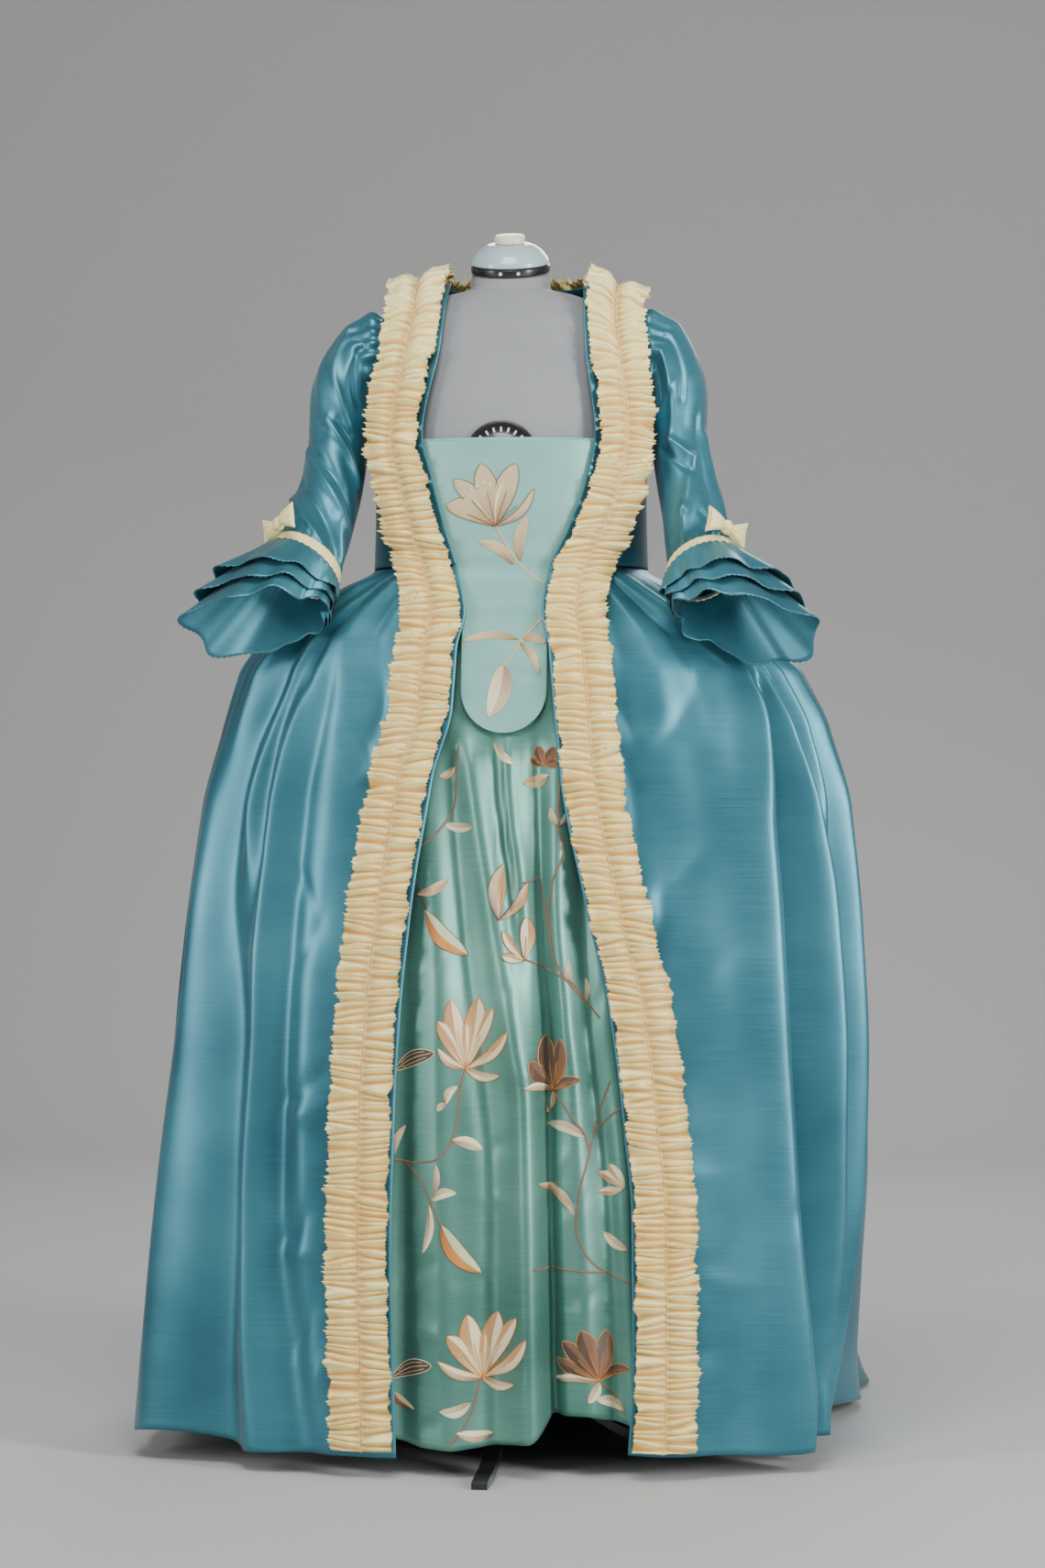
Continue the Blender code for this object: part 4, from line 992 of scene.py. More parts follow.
def pleat_wave(places, seed, pitch=(0.0060, 0.0112)):
    """Height along one gathered row, from 0 to about 1: pleats that lean over, all unlike."""
    chance = random.Random(seed)
    starts, talls, skews = [places[0] - 0.02], [], []
    while starts[-1] < places[-1] + 0.02:
        starts.append(starts[-1] + chance.uniform(*pitch))
        talls.append(chance.uniform(0.45, 1.25))
        skews.append(chance.uniform(0.30, 0.85))
    starts, talls, skews = np.array(starts), np.array(talls), np.array(skews)

    def wave(where):
        index = np.clip(np.searchsorted(starts, where) - 1, 0, len(talls) - 1)
        part = (where - starts[index]) / (starts[index + 1] - starts[index])
        rise = np.where(part < skews[index], part / skews[index],
                        (1.0 - part) / (1.0 - skews[index]))
        return talls[index] * np.clip(rise, 0.0, 1.0) ** 1.15
    return wave


def slow_wave(places, seed, size, longest=0.16):
    """A gentle uneven wander along the strip."""
    chance = random.Random(seed)
    total = np.zeros_like(places)
    for step in range(9):
        length = longest / (1.0 + step * 0.8)
        total += np.sin(places * 2.0 * math.pi / length + chance.uniform(0.0, 6.3)) / (1.0 + step * 0.35)
    return total * size / 2.2


def ruched_strip(name, rows, seed, sides=11, step=0.0013, tall=0.0100):
    """The whole strip: a grid with its stitched line in the middle."""
    places, base = evenly_along(rows, step)
    along = np.gradient(base[:, 1], axis=0)
    along /= np.linalg.norm(along, axis=1, keepdims=True)
    across = base[:, 2] - base[:, 0]
    across /= np.linalg.norm(across, axis=1, keepdims=True)
    normal = np.cross(across, -along)
    normal /= np.linalg.norm(normal, axis=1, keepdims=True)
    columns = []
    for side, edge in ((-1.0, base[:, 0]), (1.0, base[:, 2])):
        wave = pleat_wave(places, seed + int(side))
        small = pleat_wave(places, seed + 7 + int(side), (0.0026, 0.0060))
        fan = slow_wave(places, seed + 11 + int(side), 0.20)
        wander = slow_wave(places, seed + 3 + int(side), 0.0048, 0.09)
        flop = slow_wave(places, seed + 5 + int(side), 0.0045, 0.06)
        half = []
        for part in even(0.0, 1.0, sides + 1)[1:]:
            where = places + part * 0.037 * fan
            height = wave(where)
            full = 0.30 + 0.70 * smooth_step(0.0, 0.42, part)
            lift = tall * full * height + 0.0011 * small(where) * (1.0 - 0.4 * part)
            lift = lift + 0.0036 * math.sin(math.pi * min(part * 1.25, 1.0)) ** 0.8 - 0.0012
            lift = lift + flop * part ** 2
            pinked = 0.0011 * np.where(np.arange(len(places)) % 2, 1.0, -1.0) * (part > 0.99)
            out = part + (wander * 14.0 - 0.05 + 0.05 * height) * part ** 3
            point = base[:, 1] + (edge - base[:, 1]) * out[:, None]
            point = point + across * (side * pinked)[:, None] + normal * lift[:, None]
            point = point - along * (0.0034 * height * full)[:, None]
            # each column keeps its pleat height share, which the material turns into painted shade in the
            # valleys
            half.append((point, np.clip(height * full, 0.0, 1.0)))
        columns.append(half[::-1] if side < 0.0 else half)
    tuck = 0.0002 + 0.0012 * pleat_wave(places, seed + 21, (0.002, 0.004))(places)
    middle = base[:, 1] + normal * tuck[:, None]
    # the stitched middle gets a low share, so the painted shade darkens it a little as well
    spread = columns[0] + [(middle, np.full(len(places), 0.35))] + columns[1]
    grid = np.stack([point for point, _ in spread], 1)
    pleat_share_for_painted_shade = np.stack([share for _, share in spread], 1).ravel()
    rows_count, count = grid.shape[:2]
    body = mesh_from(name, grid.reshape(-1, 3), grid_faces(rows_count, count), RUCHED,
                     grid_uv(grid).reshape(-1, 2))
    corners = np.zeros(len(body.data.loops), int)
    body.data.loops.foreach_get("vertex_index", corners)
    # the 'shade' UV map carries the pleat height share for the painted shade in the material
    layer = body.data.uv_layers.new(name="shade")
    layer.data.foreach_set("uv", np.stack([pleat_share_for_painted_shade, pleat_share_for_painted_shade], -1)[corners].ravel())
    return body, base[:, 1] + normal * 0.0016


def stitch_tree(material):
    """Geometry Nodes: short stitches at an even pitch along a seam line."""
    tree = bpy.data.node_groups.new("seam_stitches", "GeometryNodeTree")
    tree.interface.new_socket("Geometry", in_out="INPUT", socket_type="NodeSocketGeometry")
    for label, value in (("Pitch", 0.0042), ("Length", 0.0028), ("Thread", 0.00042)):
        socket = tree.interface.new_socket(label, in_out="INPUT", socket_type="NodeSocketFloat")
        socket.default_value = value
    tree.interface.new_socket("Geometry", in_out="OUTPUT", socket_type="NodeSocketGeometry")
    nodes = Nodes(tree)
    given = nodes.add("NodeGroupInput").outputs
    line = nodes.add("GeometryNodeMeshToCurve")
    nodes.join(given["Geometry"], line.inputs["Mesh"])
    spaced = nodes.add("GeometryNodeResampleCurve", mode="LENGTH")
    nodes.join(line.outputs["Curve"], spaced.inputs["Curve"])
    nodes.join(given["Pitch"], spaced.inputs["Length"])
    thread = nodes.add("GeometryNodeMeshCylinder")
    thread.inputs["Vertices"].default_value = 6
    nodes.join(given["Thread"], thread.inputs["Radius"])
    nodes.join(given["Length"], thread.inputs["Depth"])
    tangent = nodes.add("GeometryNodeInputTangent")
    turn = nodes.add("FunctionNodeAlignRotationToVector", axis="Z")
    nodes.join(tangent.outputs[0], turn.inputs["Vector"])
    placed = nodes.add("GeometryNodeInstanceOnPoints")
    nodes.join(spaced.outputs["Curve"], placed.inputs["Points"])
    nodes.join(thread.outputs["Mesh"], placed.inputs["Instance"])
    nodes.join(turn.outputs["Rotation"], placed.inputs["Rotation"])
    real = nodes.add("GeometryNodeRealizeInstances")
    nodes.join(placed.outputs["Instances"], real.inputs["Geometry"])
    finish = nodes.add("GeometryNodeSetMaterial")
    finish.inputs["Material"].default_value = material
    nodes.join(real.outputs["Geometry"], finish.inputs["Geometry"])
    nodes.join(finish.outputs["Geometry"], nodes.add("NodeGroupOutput").inputs["Geometry"])
    return tree


THREAD = plain_material("gold_thread", display(196, 146, 72), 0.6)[0]
STITCHES = stitch_tree(THREAD)


def sew(name, line, pitch=0.0042, length=0.0028, thread=0.00042):
    """A row of stitches along a line of points, as one plain mesh."""
    mesh = bpy.data.meshes.new(name + "_line")
    count = len(line)
    mesh.from_pydata((line + AXIS).tolist(), [(i, i + 1) for i in range(count - 1)], [])
    guide = bpy.data.objects.new(name + "_line", mesh)
    bpy.context.scene.collection.objects.link(guide)
    maker = guide.modifiers.new("stitches", "NODES")
    maker.node_group = STITCHES
    sizes = {"Pitch": pitch, "Length": length, "Thread": thread}
    for item in STITCHES.interface.items_tree:
        if item.name in sizes and item.in_out == "INPUT":
            maker[item.identifier] = sizes[item.name]
    bpy.context.view_layer.update()
    graph = bpy.context.evaluated_depsgraph_get()
    made = bpy.data.meshes.new_from_object(guide.evaluated_get(graph))
    bpy.data.objects.remove(guide)
    body = bpy.data.objects.new(name, made)
    bpy.context.scene.collection.objects.link(body)
    return body


def build_trims():
    for number, (side, sign) in enumerate(SIDES):
        rows = trim_lines(sign)
        rows = rows if sign > 0.0 else rows[:, ::-1]
        strip, line = ruched_strip("ruching_" + side, rows, 40 + number * 50)
        seam = settle(sew("ruching_stitches_" + side, line), "trim_silk")
        settle(strip, "trim_silk", "trim_" + side)
    parts = np.array([0.0, 0.5, 1.0])
    heights = mix(1.434, 1.394, parts)[None, :]
    stations = even(124.0, 236.0, 60)[:, None] + np.zeros((1, 3))
    rows = lifted(sack_surface, stations, heights + 0.0 * stations, 0.024)
    strip, line = ruched_strip("ruching_neck", rows[::-1], 140, 6)
    seam = settle(sew("ruching_stitches_neck", line), "trim_silk")
    settle(strip, "trim_silk", "trim_neck")


build_trims()


# ---------------------------------------------------------------- sleeves, flounces and bows
# Elbow sleeves of the same taffeta, gathered into the armhole, end in three deep circular
# flounces, the shortest outside, under a flat gold band with a bow on the outside of the elbow.
# Middle of each ring from armhole to elbow, its half height and half depth, and its lean.
SLEEVES = {
    "left": ((-0.157, 0.004, 1.346, 0.052, 0.043, 0.0),
             (-0.190, 0.002, 1.343, 0.061, 0.048, 16.0),
             (-0.209, -0.004, 1.305, 0.050, 0.054, 50.0),
             (-0.213, -0.014, 1.252, 0.038, 0.054, 80.0),
             (-0.216, -0.036, 1.198, 0.038, 0.050, 84.0),
             (-0.224, -0.068, 1.148, 0.041, 0.047, 74.0),
             (-0.234, -0.098, 1.108, 0.043, 0.044, 64.0),
             (-0.241, -0.126, 1.080, 0.041, 0.042, 58.0)),
    "right": ((0.159, 0.004, 1.346, 0.052, 0.043, 0.0),
              (0.193, 0.002, 1.344, 0.060, 0.048, 16.0),
              (0.209, -0.004, 1.302, 0.046, 0.054, 50.0),
              (0.210, -0.014, 1.245, 0.034, 0.054, 80.0),
              (0.218, -0.036, 1.190, 0.036, 0.050, 78.0),
              (0.230, -0.068, 1.140, 0.039, 0.047, 72.0),
              (0.238, -0.098, 1.100, 0.041, 0.044, 66.0),
              (0.243, -0.128, 1.074, 0.040, 0.042, 62.0)),
}
# Folds of a sleeve: from an angle round it and a ring down it, to another angle and ring, half
# width and height. Angle 0 lies outside the elbow, -90 in front, 180 against the body.
SLEEVE_FOLDS = {
    "left": ((-35, 1.0, -118, 3.0, 0.0070, 0.0045),
             (-75, 0.6, -128, 2.4, 0.0050, -0.0042),
             (-10, 2.0, -70, 3.3, 0.0090, -0.0030),
             (-8, 3.3, -150, 5.0, 0.0065, -0.0055),
             (-20, 3.5, -140, 5.4, 0.0060, 0.0052),
             (-75, 3.0, -160, 4.3, 0.0050, 0.0045),
             (-100, 3.0, -170, 4.0, 0.0045, -0.0042),
             (-30, 4.5, -150, 6.3, 0.0065, -0.0052),
             (-15, 4.9, -125, 6.7, 0.0070, 0.0048),
             (-125, 5.4, -175, 6.6, 0.0060, 0.0036),
             (40, 2.6, 130, 4.4, 0.0080, -0.0042),
             (60, 3.8, 150, 5.6, 0.0080, 0.0040)),
    "right": ((-80, 0.5, -100, 2.0, 0.0050, 0.0050),
              (-104, 0.8, -122, 2.2, 0.0045, -0.0048),
              (-60, 0.8, -78, 2.4, 0.0060, -0.0038),
              (-92, 2.0, -104, 3.4, 0.0080, 0.0042),
              (-104, 3.4, -64, 3.9, 0.0055, 0.0045),
              (-130, 3.5, -74, 4.2, 0.0050, -0.0046),
              (-64, 3.9, -98, 5.2, 0.0070, 0.0046),
              (-98, 5.2, -112, 6.8, 0.0075, 0.0040),
              (-40, 2.8, -52, 6.8, 0.0055, -0.0060),
              (-18, 3.2, -26, 6.2, 0.0075, 0.0045),
              (-60, 5.9, -20, 6.7, 0.0050, 0.0042),
              (-66, 5.4, -30, 6.1, 0.0042, -0.0040),
              (40, 2.6, 130, 4.4, 0.0080, -0.0042),
              (60, 3.8, 150, 5.6, 0.0080, 0.0040)),
}


def sleeve_table(side):
    """The sleeve's rows with each one's place and how far it runs forwards."""
    rows = np.array(SLEEVES[side])
    middles = rows[:, :3]
    ahead = np.vstack([middles[1:], middles[-1:]]) - np.vstack([middles[:1], middles[:-1]])
    forward = ahead[:, 1] / np.linalg.norm(ahead, axis=1)
    forward[0] = 0.0
    return np.column_stack([np.arange(len(rows)), rows, forward])


def sleeve_frame(side, sign, ring):
    """Middle, depth direction, height direction, run and half sizes at places down a sleeve."""
    x, y, z, high_half, deep_half, lean, forward = table_at(sleeve_table(side), ring)
    lean = np.radians(lean)
    run = np.stack([sign * np.cos(lean), forward, -np.sin(lean)], -1)
    run /= np.linalg.norm(run, axis=-1, keepdims=True)
    deep = np.array([0.0, 1.0, 0.0]) - run * run[..., 1:2]
    deep /= np.linalg.norm(deep, axis=-1, keepdims=True)
    high = np.cross(deep, run) * -sign
    return np.stack([x, y, z], -1), deep, high, run, deep_half, high_half


def sleeve_surface(side, sign, angle, ring, lift=0.0, folds=True):
    """Points round a sleeve: angle 0 outside the elbow, 90 behind it."""
    angle, ring = np.broadcast_arrays(np.asarray(angle, float), np.asarray(ring, float))
    middle, deep, high, _, deep_half, high_half = sleeve_frame(side, sign, ring)
    tall = np.zeros(angle.shape) + lift
    if folds:
        fade = smooth_step(7.0, 6.5, ring) * smooth_step(0.0, 0.25, ring)
        for from_angle, from_ring, to_angle, to_ring, width, height in SLEEVE_FOLDS[side]:
            turn = ((angle - (from_angle + to_angle) / 2.0) + 180.0) % 360.0 - 180.0
            start = np.array([(from_angle - to_angle) / 2.0 * 0.00079, from_ring * 0.046])
            end = np.array([-start[0], to_ring * 0.046])
            point = np.stack([turn * 0.00079, ring * 0.046], -1)
            way = end - start
            part = np.clip(((point - start) @ way) / (way @ way), 0.0, 1.0)
            away = np.linalg.norm(point - start - part[..., None] * way, axis=-1)
            tall = tall + height * fade * np.exp(-(away / width) ** 1.8)
        gathers = np.sin(np.radians(angle) * 19.0 + 0.8 * np.sin(np.radians(angle) * 5.0))
        tall = tall + 0.0021 * gathers * smooth_step(1.6, 0.25, ring) * smooth_step(0.0, 0.12, ring)
        puff = smooth_step(0.0, 0.6, ring) * smooth_step(2.2, 0.9, ring)
        aside = np.abs((angle + 180) % 360 - 180)
        tall = tall + 0.0045 * puff * smooth_step(60.0, 110.0, aside) * smooth_step(160.0, 120.0, aside)
        above = smooth_step(95.0, 30.0, aside)
        tall = tall + 0.0085 * above * np.exp(-((ring - 0.28) / 0.24) ** 2)
        tall = tall - 0.0150 * above * np.exp(-((ring - 1.30) / 0.75) ** 2)
        cuff = np.sin(np.radians(angle) * 23.0 + np.sin(np.radians(angle) * 4.0))
        tall = tall + 0.0010 * cuff * smooth_step(5.9, 6.6, ring) * smooth_step(7.0, 6.8, ring)
        tall = tall + 0.0010 * np.sin(np.radians(angle) * 3.0 + ring * 1.7) * fade
    turn = np.radians(angle)
    outward = (high * (np.cos(turn) * (high_half + tall))[..., None]
               + deep * (np.sin(turn) * (deep_half + tall))[..., None])
    return middle + outward


# Flounces, the longest first: lift, length outside and inside the elbow, and flare
TIERS = (
    (0.0040, 0.128, 0.034, 0.46),
    (0.0080, 0.096, 0.026, 0.53),
    (0.0120, 0.064, 0.018, 0.64),
)


def flounce_surface(side, sign, tier, number, angle, part):
    """A circular frill: it hangs from the sleeve's end and waves more towards its edge."""
    lift, outside_length, inside_length, flare = tier
    ring = np.full(angle.shape, 7.0)
    base = sleeve_surface(side, sign, angle, ring, lift, False)
    run = sleeve_frame(side, sign, ring)[3]
    out = (sleeve_surface(side, sign, angle, ring, 0.01, False)
           - sleeve_surface(side, sign, angle, ring, 0.0, False)) / 0.01
    out[..., 1] = np.minimum(out[..., 1], out[..., 1] * 0.15)
    hang = np.array([0.34 * sign, -0.30, -0.89])
    hang /= np.linalg.norm(hang)
    turn = np.radians(angle)
    outside = 0.5 + 0.5 * np.cos(turn)
    length = mix(inside_length, outside_length, outside ** 1.3)
    shift = number * 0.9 + (0.0 if sign < 0.0 else 1.7)
    length = length * (1.0 + 0.055 * np.cos(turn * 7.0 + shift) * np.clip(part, 0, 1))
    wave = (np.cos(turn * 5.0) * 0.85 + 0.45 * np.cos(turn * 9.0 + shift)
            + 0.22 * np.cos(turn * 15.0 + 2.0 * shift))
    gather = 0.0009 * np.cos(turn * 36.0 + np.sin(turn * 5.0)) * np.exp(-part * 7.0)
    reach = length * part * flare * mix(0.4, 1.0, outside)
    away = reach + 0.0060 * part ** 1.2 * wave + gather
    pinked = 0.0007 * np.where(np.arange(angle.shape[1]) % 2, 1.0, -1.0) * (part > 0.999)
    return (base + run * 0.0015 + hang * (length * part + pinked)[..., None] + out * away[..., None])


def build_sleeves():
    for side, sign in SIDES:
        rings = np.concatenate([even(0.0, 2.0, 44), even(2.04, 7.0, 86)])
        angle, ring = np.meshgrid(sign * np.arange(96) * 3.75, rings)
        sleeve = cloth("elbow_sleeve_" + side, sleeve_surface(side, sign, angle, ring), TAFFETA,
                       closed=True)
        settle(sleeve, "gown_taffeta", "sleeve_" + side)
        angle, part = np.meshgrid(sign * np.arange(120) * 3.0, even(0.50, 0.98, 12))
        place = 6.0 + part
        puff = 0.0045 + 0.0011 * np.sin(math.pi * (part - 0.5) / 0.48)
        crimp = 0.0004 * np.sin(np.radians(angle) * 40.0 + 2.0 * np.sin(np.radians(angle) * 7.0))
        points = sleeve_surface(side, sign, angle, place, puff + crimp, False)
        band = cloth("cuff_band_" + side, points, GOLD_SILK, 0.0010, closed=True)
        settle(band, "trim_silk", "sleeve_band_" + side)
        for number, tier in enumerate(TIERS):
            angle, part = np.meshgrid(sign * np.arange(180) * 2.0, even(0.0, 1.0, 24))
            frill = cloth(f"frill_{side}_{number + 1}",
                          flounce_surface(side, sign, tier, number, angle, part), TAFFETA, 0.0009,
                          closed=True)
            settle(frill, "gown_taffeta", f"flounce_{side}_{number + 1}")


def build_bow(side, sign):
    """Two puffed, pinched wings of gold ribbon and the knot between them."""
    outward = np.array([sign * 0.80, -0.60, 0.10])
    outward /= np.linalg.norm(outward)
    along = np.array([0.55 * sign, 0.62, -0.30])
    along -= outward * (along @ outward)
    along /= np.linalg.norm(along)
    upward = np.cross(along, outward)
    run = sleeve_frame(side, sign, np.array(7.0))[3]
    middle = sleeve_surface(side, sign, -35.0, 7.0, 0.0210, False) - run * 0.015
    turn = np.radians(np.arange(40) * 9.0)[None, :]
    for number, facing in ((1, -1.0), (2, 1.0)):
        part = even(0.0, 1.0, 20)[:, None]
        out = 0.006 + 0.028 * part + 0.0022 * part * np.cos(turn * 2.0)
        high = 0.0045 + 0.0125 * part ** 0.8
        deep = 0.0028 + 0.0034 * np.sin(math.pi * part ** 0.8) + 0.0006
        pinch = 1.0 + 0.20 * (1.0 - part) * np.cos(turn * 9.0) + 0.10 * np.cos(turn * 5.0 + 1.0) * part
        droop = -0.004 * part ** 2 * facing * sign
        points = (middle + along * facing * out[..., None]
                  + upward * (np.cos(turn) * high + droop)[..., None]
                  + outward * (np.sin(turn) * deep * pinch)[..., None])
        points = points if facing > 0.0 else points[:, ::-1]
        wing = solid(f"bow_loop_{side}_{number}", points[::-1], GOLD_SILK)
        uv = wing.data.uv_layers.new(name="cloth")
        for loop in wing.data.loops:
            spot = wing.data.vertices[loop.vertex_index].co
            uv.data[loop.index].uv = (spot.x, spot.z)
        settle(wing, "trim_silk", f"bow_wing_{side}_{number}")
    part = even(-1.0, 1.0, 13)[:, None]
    size = 0.0072 * np.sqrt(np.clip(1.0 - (part * 0.86) ** 2, 0.0, 1.0)) + 0.0004 * np.cos(turn * 5.0)
    points = (middle + along * (part * 0.0074 + 0.0 * turn)[..., None]
              + upward * (np.cos(turn) * size * 1.25)[..., None]
              + outward * (np.sin(turn) * size)[..., None])
    knot = solid("bow_tie_" + side, points[::-1], GOLD_SILK)
    knot.data.uv_layers.new(name="cloth")
    settle(knot, "trim_silk", "bow_knot_" + side)


build_sleeves()
for side, sign in SIDES:
    build_bow(side, sign)


# ---------------------------------------------------------------- petticoat
# A full petticoat of green taffeta shot with blue, pleated to a waistband and worn over the
# same hips. Its folds are followed down it as height, sideways place, half width and height.
PETTICOAT = (
    (1.072, 0.152, 0.116, 0.104),
    (1.030, 0.215, 0.118, 0.128),
    (0.990, 0.272, 0.121, 0.148),
    (0.940, 0.304, 0.128, 0.166),
    (0.850, 0.332, 0.142, 0.190),
    (0.700, 0.352, 0.160, 0.222),
    (0.500, 0.358, 0.178, 0.262),
    (0.300, 0.356, 0.189, 0.300),
    (0.034, 0.348, 0.196, 0.330),
)
PLEATS = (
    ((0.90, -0.044, 0.013, 0.006), (0.78, -0.024, 0.015, 0.010), (0.66, -0.003, 0.017, 0.013),
     (0.52, 0.022, 0.020, 0.017), (0.44, 0.034, 0.020, 0.019), (0.28, 0.038, 0.022, 0.021),
     (0.03, 0.044, 0.022, 0.022)),
    ((0.90, -0.010, 0.007, -0.004), (0.74, 0.006, 0.006, -0.006), (0.58, 0.022, 0.006, 0.0)),
    ((0.90, 0.006, 0.010, 0.005), (0.80, 0.013, 0.009, 0.008), (0.70, 0.027, 0.008, 0.005),
     (0.62, 0.034, 0.008, 0.0)),
    ((0.90, 0.040, 0.010, -0.006), (0.66, 0.050, 0.010, -0.013), (0.50, 0.060, 0.009, -0.018),
     (0.39, 0.062, 0.008, -0.020), (0.03, 0.070, 0.008, -0.026)),
    ((0.90, 0.070, 0.012, 0.005), (0.70, 0.070, 0.012, 0.008), (0.55, 0.082, 0.013, 0.009),
     (0.46, 0.092, 0.015, 0.008), (0.20, 0.106, 0.018, 0.008), (0.03, 0.112, 0.020, 0.008)),
    ((0.90, -0.068, 0.012, -0.003), (0.66, -0.046, 0.013, -0.007), (0.50, -0.026, 0.014, -0.005),
     (0.36, -0.012, 0.012, 0.0)),
    ((0.80, -0.086, 0.014, 0.003), (0.56, -0.070, 0.017, 0.007), (0.30, -0.066, 0.022, 0.009),
     (0.03, -0.056, 0.026, 0.010)),
    ((0.50, -0.016, 0.012, -0.003), (0.30, -0.006, 0.012, -0.006), (0.03, -0.004, 0.014, -0.008)),
    ((0.70, -0.112, 0.014, -0.004), (0.30, -0.112, 0.016, -0.008), (0.03, -0.112, 0.018, -0.009)),
    ((0.86, 0.092, 0.008, -0.003), (0.55, 0.106, 0.010, -0.007), (0.30, 0.132, 0.012, -0.006),
     (0.03, 0.142, 0.014, -0.006)),
    ((0.60, 0.130, 0.012, 0.004), (0.30, 0.154, 0.014, 0.008), (0.03, 0.168, 0.016, 0.009)),
    ((0.60, -0.160, 0.018, 0.004), (0.03, -0.170, 0.020, 0.012)),
    ((0.60, -0.210, 0.016, -0.004), (0.03, -0.215, 0.018, -0.012)),
    ((0.60, 0.215, 0.018, -0.004), (0.03, 0.210, 0.018, -0.012)),
    ((0.60, 0.265, 0.018, 0.004), (0.03, 0.260, 0.020, 0.010)),
    ((0.60, -0.265, 0.018, 0.004), (0.03, -0.260, 0.020, 0.010)),
)
# Short creases across the petticoat: place, lean, half length, half width and height
PUCKERS = (
    (0.008, 0.395, 60, 0.016, 0.006, -0.0022),
    (-0.010, 0.330, 80, 0.020, 0.006, 0.0016),
    (0.088, 0.325, 58, 0.018, 0.006, -0.0026),
    (0.074, 0.375, 50, 0.016, 0.006, 0.0018),
    (-0.094, 0.245, 62, 0.026, 0.007, -0.0022),
    (-0.030, 0.235, 84, 0.026, 0.007, -0.0020),
    (0.100, 0.215, 70, 0.022, 0.007, -0.0020),
    (-0.070, 0.170, 96, 0.024, 0.008, 0.0018),
    (0.020, 0.130, 70, 0.020, 0.007, -0.0018),
    (-0.086, 0.060, 64, 0.026, 0.007, -0.0022),
    (0.118, 0.560, 20, 0.022, 0.006, -0.0020),
    (0.012, 0.580, 30, 0.018, 0.005, -0.0018),
    (-0.060, 0.620, 40, 0.020, 0.006, -0.0016),
    (0.036, 0.480, 96, 0.016, 0.006, 0.0018),
)
GREEN_TAFFETA = woven_material("green_taffeta", display(44, 98, 86), display(112, 166, 152), 0.38, 0.45,
                               0.30, (0.62, 0.76, 0.80), 0.00012, 3000.0, 0.3)


def petticoat_surface(station, z):
    station, z = np.broadcast_arrays(np.asarray(station, float), np.asarray(z, float))
    half, front, back = table_at(PETTICOAT, z)
    x, y = plan_point(station, half, np.where(np.cos(np.radians(station)) > 0.0, front, back), 2.3)
    total = np.zeros(z.shape)
    for pleat in PLEATS:
        middle, spread, tall = table_at(pleat, z)
        fade = smooth_step(pleat[-1][0] - 0.10, pleat[-1][0], z) if pleat[-1][0] > 0.1 else 1.0
        fade = fade * smooth_step(pleat[0][0] + 0.05, pleat[0][0] - 0.03, z)
        total += tall * fade * np.exp(-np.abs((x - middle) / spread) ** 1.8)
    for side, up, lean, length, width, tall in PUCKERS:
        turn = math.radians(lean)
        along = (x - side) * math.sin(turn) + (z - up) * math.cos(turn)
        beside = (x - side) * math.cos(turn) - (z - up) * math.sin(turn)
        total += tall * np.exp(-(along / length) ** 2 - np.abs(beside / width) ** 1.5)
    total += soft_ripple(station, z, 9, 18, 0.0008)
    total = 1.25 * total * smooth_step(0.90, 0.84, z)
    return np.stack([x, np.where(y < 0.0, y - total, y), z], -1)


def petticoat_hem(x):
    """The hem swings: low on the left of the middle, higher where it falls back on the right."""
    places = (-0.36, -0.13, -0.09, -0.05, 0.045, 0.054, 0.066, 0.110, 0.160, 0.220, 0.36)
    heights = (0.036, 0.046, 0.036, 0.034, 0.046, 0.054, 0.076, 0.076, 0.064, 0.044, 0.036)
    return np.interp(x, places, heights)


def build_petticoat():
    parts = np.sin(np.radians(88.0)) * even(-1.0, 1.0, 170)
    stations = np.degrees(np.arcsin(parts))[None, :]
    x = petticoat_surface(stations, 0.05)[..., 0]
    heights = mix(1.072, petticoat_hem(x), even(0.0, 1.0, 150)[:, None])
    front = cloth("petticoat_face", petticoat_surface(stations + 0.0 * heights, heights), GREEN_TAFFETA)
    settle(front, "petticoat_taffeta", "petticoat_front")
    stations, heights = np.meshgrid(even(88.6, 271.4, 90), even(1.072, 0.036, 60))
    back = cloth("petticoat_rear", petticoat_surface(stations, heights), GREEN_TAFFETA)
    settle(back, "petticoat_taffeta", "petticoat_back")


build_petticoat()


# ---------------------------------------------------------------- stomacher
# A stiffened panel of smooth pale satin, straight at the chest and rounded at its tip, pinned
# in under the gown's front edges. It is lined, and lies flat but for slight creases.
SATIN = woven_material("seafoam_satin", display(112, 170, 160), display(144, 196, 186), 0.46, 0.10,
                       0.20, (0.8, 0.95, 0.92), 0.00010, 3800.0, 0.2)


def stomacher_surface(station, z):
    station, z = np.broadcast_arrays(np.asarray(station, float), np.asarray(z, float))
    point = lifted(smooth_front, station, z, -0.0055)
    crease = np.zeros(z.shape)
    for side, up, lean, length, tall in ((0.0, 1.098, 92, 0.05, 0.0012), (0.02, 1.112, 80, 0.04, -0.0010),
                                         (-0.03, 1.084, 97, 0.04, -0.0012), (0.0, 1.035, 88, 0.05, 0.0008),
                                         (0.02, 0.955, 95, 0.04, -0.0008), (-0.02, 1.200, 90, 0.06, 0.0006)):
        turn = math.radians(lean)
        along = (point[..., 0] - side) * math.sin(turn) + (z - up) * math.cos(turn)
        beside = (point[..., 0] - side) * math.cos(turn) - (z - up) * math.sin(turn)
        crease += tall * np.exp(-(along / length) ** 2 - (beside / 0.006) ** 2)
    point[..., 1] -= crease
    return point


def stomacher_half(z):
    up = np.clip((z - 0.884) / 0.052, 0.0, 1.0)
    tip = np.maximum(0.052 * np.sqrt(np.clip(1.0 - (1.0 - up) ** 2, 0.0, 1.0)), 0.004)
    return np.where(z < 0.936, tip, 0.052 + 0.062 * smooth_step(1.02, 1.238, z))


